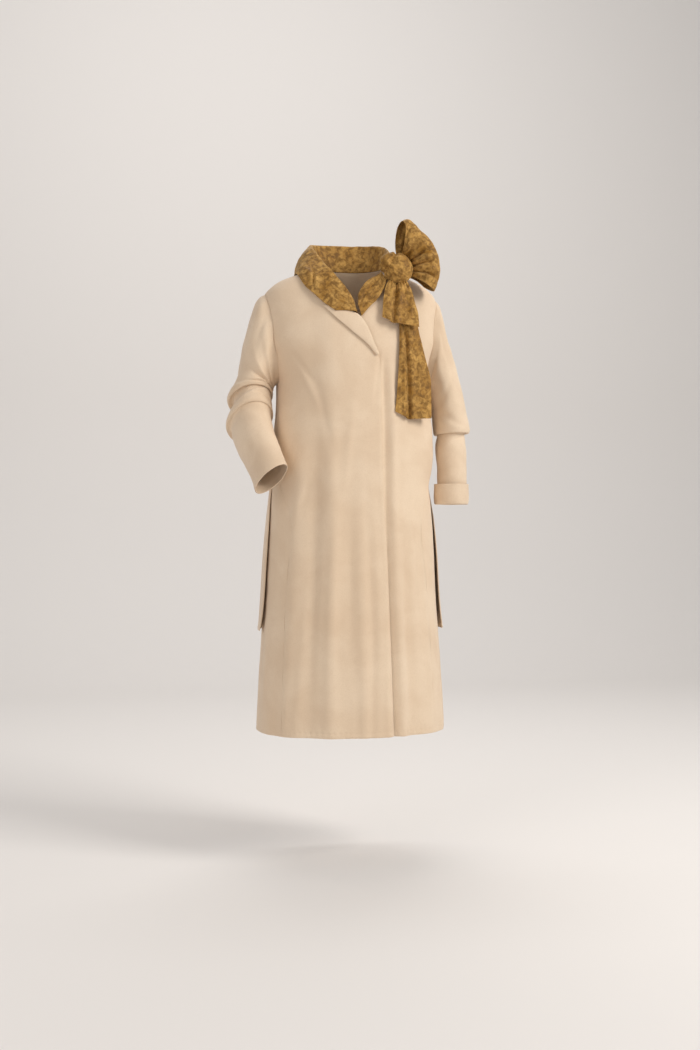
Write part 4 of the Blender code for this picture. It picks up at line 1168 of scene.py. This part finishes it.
# The knot: an egg on its long axis, pinched near its tight end, with wrinkles along it that
# deepen towards the pinch
def addKnot():
    rows, sides = 90, 120
    angle = np.linspace(0, 2 * math.pi, sides, endpoint=False)[None, :]
    along = np.sin(np.linspace(-math.pi / 2 + 0.12, math.pi / 2 - 0.12, rows))[:, None]
    pinch = 0.20 * bell(along - knotShape["waist"], 0.13) + 0.07 * bell(along + 0.74, 0.07)
    wrinkle = np.sin(knotShape["wrinkles"] * angle + 1.6 * np.sin(2 * angle) + 2.2 * along)
    fine = np.sin(23 * angle + 3.0 * along + 1.4 * np.sin(3 * angle))
    depth = 0.028 + 0.055 * bell(along - knotShape["waist"], 0.35)
    radius = np.sqrt(1 - along**2) * (1 + 0.10 * along - pinch + depth * wrinkle + 0.016 * fine)
    diagonal = 0.03 * bell(np.sin(angle - 2.0 - 1.1 * along), 0.25)
    radius = radius * (1 - diagonal)
    x = knotShape["halfLength"] * along + 0 * angle
    y = knotShape["halfDepth"] * radius * np.sin(angle)
    z = knotShape["halfHeight"] * radius * np.cos(angle)
    grid = pointsAt(x, y, z) @ knotFrame() + np.array(knotShape["middle"])
    number = np.arange(rows * sides).reshape(rows, sides)
    number = np.hstack([number, number[:, :1]])
    quads = np.stack([number[:-1, :-1], number[1:, :-1], number[1:, 1:], number[:-1, 1:]], axis=-1)
    poles = [grid[0].mean(axis=0)[None], grid[-1].mean(axis=0)[None]]
    points = np.concatenate([grid.reshape(-1, 3)] + poles)
    low = np.stack([number[0, :-1], number[0, 1:], np.full(sides, rows * sides)], axis=-1)
    high = np.stack([number[-1, 1:], number[-1, :-1], np.full(sides, rows * sides + 1)], axis=-1)
    mesh = bpy.data.meshes.new("wrappedKnot")
    mesh.from_pydata(points.tolist(), [], quads.reshape(-1, 4).tolist() + low.tolist() + high.tolist())
    mesh.shade_smooth()
    piece = addPiece("wrappedKnot", mesh, velvetCloth, "knot")
    print("made wrappedKnot")


loopShape = {
    "root": (0.105, -0.079, 0.0316),
    "start": 0.027,
    "forward": 0.018,
    "clear": 0.012,
    "gap": 0.0006,
    "frontFan": (-38.0, 80.0),
    "backFan": (-30.0, 96.0),
    "halfDepth": 0.030,
    "pinch": 0.0045,
    "foldStrength": 1.3,
}

# How far the loop's far fold lies from its root, by fan angle
loopReach = (
    (-40.0, 0.102),
    (-19.0, 0.099),
    (15.0, 0.097),
    (37.0, 0.098),
    (60.0, 0.100),
    (80.0, 0.114),
    (97.0, 0.092),
)

# Folds on the loop's face: fan angle, how far out (0 knot, 1 far fold), angular width, reach, depth
loopFolds = (
    (-30.0, 0.45, 5.0, 0.50, 0.0040),
    (-22.0, 0.50, 4.0, 0.55, -0.0055),
    (-10.0, 0.45, 5.0, 0.50, 0.0045),
    (2.0, 0.40, 4.5, 0.40, -0.0060),
    (13.0, 0.35, 5.0, 0.38, 0.0055),
    (25.0, 0.42, 6.0, 0.34, -0.0085),
    (38.0, 0.40, 6.0, 0.36, 0.0040),
    (52.0, 0.30, 5.0, 0.34, -0.0045),
    (66.0, 0.35, 6.0, 0.40, 0.0035),
    (74.0, 0.60, 4.0, 0.45, -0.0030),
)


# A loop of cloth: out from the knot in front, round its far fold and back in behind it
def addLoop():
    reach = np.array(loopReach)
    rows, columns = 130, 150
    around = np.linspace(0, 1, rows)[:, None]
    share = np.linspace(0, 1, columns)[None, :]
    low = mixed(loopShape["frontFan"][0], loopShape["backFan"][0], ease(around))
    high = mixed(loopShape["frontFan"][1], loopShape["backFan"][1], ease(around))
    fan = mixed(low, high, share)
    out = (1 - np.cos(2 * math.pi * around)) / 2
    farthest = smoothCurve(reach[:, 0], reach[:, 1], fan)
    distance = loopShape["start"] + (farthest - loopShape["start"]) * out
    side = np.cos(math.pi * around)
    swell = np.sin(2 * math.pi * around) * np.sin(math.pi * around) ** 0.6
    folds = np.zeros((rows, columns))
    for angle, centre, width, span, foldDepth in loopFolds:
        across = bell(fan - angle - 6 * np.sin(3 * out), width)
        folds = folds + loopShape["foldStrength"] * foldDepth * across * bell(out - centre, span)
    gathers = 0.0016 * np.sin(2 * math.pi * 12 * share + 2 * np.sin(7 * share)) * bell(out, 0.25)
    depth = -loopShape["pinch"] * side - loopShape["halfDepth"] * swell
    depth = depth - loopShape["forward"] * np.sqrt(out)
    depth = depth - (folds + gathers) * np.where(around < 0.5, 1, -0.6)
    angle = np.radians(fan)
    grid = pointsAt(distance * np.cos(angle), depth, distance * np.sin(angle))
    grid = np.array(loopShape["root"]) + grid
    grid = setOff(grid, loopShape["clear"], pushOnly=True)
    facing = gridNormals(grid, False)
    grid = grid - facing * (0.0008 * waver(grid, 0.028) * ease(out * 3))[..., None]
    grid = offKnot(grid, loopShape["gap"])
    addSheet("bowLoop", "bow_loop", grid, velvetCloth, flip=True)


tailShape = {"foldDepth": 0.0075, "foldWidth": 0.0045, "ripple": 0.0012}


# A hanging end: two leaves with a deep lengthwise valley between them, seen from the front
def addTail(name, node, rowsTable, count, lift, creases):
    table = alongRows(columnsOf(tailColumns, rowsTable), count)
    width = table["rightX"] - table["leftX"]
    foldShare = (table["foldX"] - table["leftX"]) / width
    spread = np.linspace(0, 2, 96)[None, :]
    share = np.where(spread < 1, foldShare * spread, foldShare + (1 - foldShare) * (spread - 1))
    x = table["leftX"] + width * share
    zLeft = mixed(table["leftZ"], table["foldZ"], np.clip(spread, 0, 1))
    z = np.where(spread < 1, zLeft, mixed(table["foldZ"], table["rightZ"], np.clip(spread - 1, 0, 1)))
    place = np.linspace(0, 1, count)[:, None]
    valley = tailShape["foldDepth"] * bell(x - table["foldX"], tailShape["foldWidth"]) * ease(place * 6)
    fromFold = x - table["foldX"]
    ridges = -0.0022 * (bell(fromFold - 0.011, 0.006) + bell(fromFold + 0.010, 0.006))
    gathers = 0.0016 * np.sin(2 * math.pi * 7 * share + 1.2) * bell(place, 0.22)
    curl = 0.0025 * (bell(share, 0.06) + bell(1 - share, 0.05)) * ease(place * 2)
    y = mixed(table["leftY"], table["rightY"], share) + valley
    y = y + ridges * ease(place * 3) + gathers + curl
    grid = pointsAt(x, y, z)
    y = y + creaseRelief(grid, creases) - tailShape["ripple"] * waver(grid, 0.045, 1.0)
    hem = 0.0012 * bell(1 - place - 0.045, 0.012) - 0.0006 * bell(1 - place - 0.02, 0.01)
    grid = setOff(pointsAt(x, y + hem, z), lift, pushOnly=True)
    addSheet(name, node, offKnot(grid, coat["seamGap"]), velvetCloth)


shortTailCreases = (
    (0.118, -0.050, -0.30, 0.0050, 0.020, 0.0018),
    (0.126, -0.080, 0.15, 0.0045, 0.018, -0.0016),
    (0.078, -0.055, 0.10, 0.0050, 0.022, 0.0016),
)
longTailCreases = (
    (0.132, -0.170, 0.35, 0.0045, 0.014, 0.0024),
    (0.150, -0.230, 0.10, 0.0060, 0.050, -0.0018),
    (0.106, -0.200, 0.06, 0.0050, 0.050, 0.0018),
)

addCollar()
addBand()
addKnot()
addLoop()
addTail("shortTail", "tail_short", shortTailRows, 80, 0.0115, shortTailCreases)
addTail("longTail", "tail_long", longTailRows, 130, 0.0026, longTailCreases)


# Floor, light and camera

studio = {
    "floorHeight": -1.406,
    "floorDepth": 3.0,
    "bendRadius": 1.6,
    "wallHeight": 8.0,
    "halfWidth": 9.0,
    "background": (0.80, 0.775, 0.755, 1),
    "cameraDistance": 3.08,
    "cameraHeight": -0.594,
    "cameraTurn": 10.0,
    "sensor": 36.0,
    "imageHeight": 1050.0,
    "focalPixels": 1241.0,
    "worldStrength": 0.42,
}


# Each light's place, the point it faces, its two sides, its power and its colour
lights = (
    ("keyLight", (2.4, -1.9, 1.5), (0, 0, -0.5), (1.3, 1.8), 88, (1.0, 0.97, 0.93)),
    ("fillLight", (-2.6, -2.6, 0.5), (0, 0, -0.5), (2.0, 2.4), 30, (1.0, 0.94, 0.91)),
    ("wallLight", (0.0, 1.2, 3.2), (0, 4.6, 0.0), (3.0, 1.0), 62, (1.0, 0.98, 0.96)),
    ("backLight", (0.4, 1.6, 1.8), (0, 0, 0), (2.0, 1.2), 14, (1.0, 0.98, 0.96)),
)


# A floor that curves up into a wall behind: the profile is flat, then a quarter circle, then upright
def addFloor():
    radius, depth, half = studio["bendRadius"], studio["floorDepth"], studio["halfWidth"]
    bend = np.linspace(0, math.pi / 2, 25)
    y = np.concatenate([[-half, depth], depth + radius * np.sin(bend[1:]), [depth + radius]])
    z = np.concatenate([[0, 0], radius * (1 - np.cos(bend[1:])), [studio["wallHeight"]]])
    z = z + studio["floorHeight"]
    grid = pointsAt(np.array([-half, half])[None, :], y[:, None], z[:, None])
    count = len(y)
    left = np.arange(count - 1) * 2
    faces = np.stack([left, left + 1, left + 3, left + 2], axis=-1)
    mesh = bpy.data.meshes.new("studioFloor")
    mesh.from_pydata(grid.reshape(-1, 3).tolist(), [], faces.tolist())
    mesh.shade_smooth()
    material, tree, shader, place = newMaterial("paleFloor")
    shader.inputs["Base Color"].default_value = studio["background"]
    shader.inputs["Roughness"].default_value = 0.9
    mesh.materials.append(material)
    floor = bpy.data.objects.new("studioFloor", mesh)
    bpy.context.collection.objects.link(floor)


# A soft area light that faces its target
def addLight(name, place, target, size, power, colour):
    light = bpy.data.lights.new(name, "AREA")
    light.shape = "RECTANGLE"
    light.size, light.size_y = size
    light.energy = power
    light.color = colour
    lamp = bpy.data.objects.new(name, light)
    way = np.array(target) - np.array(place)
    tilt = math.atan2(math.hypot(way[0], way[1]), -way[2])
    lamp.location = place
    lamp.rotation_euler = (tilt, 0, math.atan2(-way[0], way[1]))
    bpy.context.collection.objects.link(lamp)


# Floor, lights and a pale sky
def addStudio():
    addFloor()
    for name, place, target, size, power, colour in lights:
        addLight(name, place, target, size, power, colour)
    world = bpy.context.scene.world or bpy.data.worlds.new("studioWorld")
    bpy.context.scene.world = world
    world.use_nodes = True
    background = world.node_tree.nodes["Background"]
    background.inputs["Color"].default_value = (1.0, 0.98, 0.96, 1)
    background.inputs["Strength"].default_value = studio["worldStrength"]
    bpy.context.scene.view_settings.view_transform = "Standard"


# A level camera that looks at the coat's axis, with the photo's field of view
def addCamera():
    turn = math.radians(studio["cameraTurn"])
    data = bpy.data.cameras.new("photoCamera")
    data.sensor_fit = "VERTICAL"
    data.sensor_height = studio["sensor"]
    data.lens = studio["focalPixels"] / studio["imageHeight"] * studio["sensor"]
    camera = bpy.data.objects.new("photoCamera", data)
    distance = studio["cameraDistance"]
    camera.location = (-math.sin(turn) * distance, -math.cos(turn) * distance, studio["cameraHeight"])
    camera.rotation_euler = (math.pi / 2, 0, -turn)
    bpy.context.collection.objects.link(camera)
    bpy.context.scene.camera = camera


addStudio()
addCamera()
print("studio made")
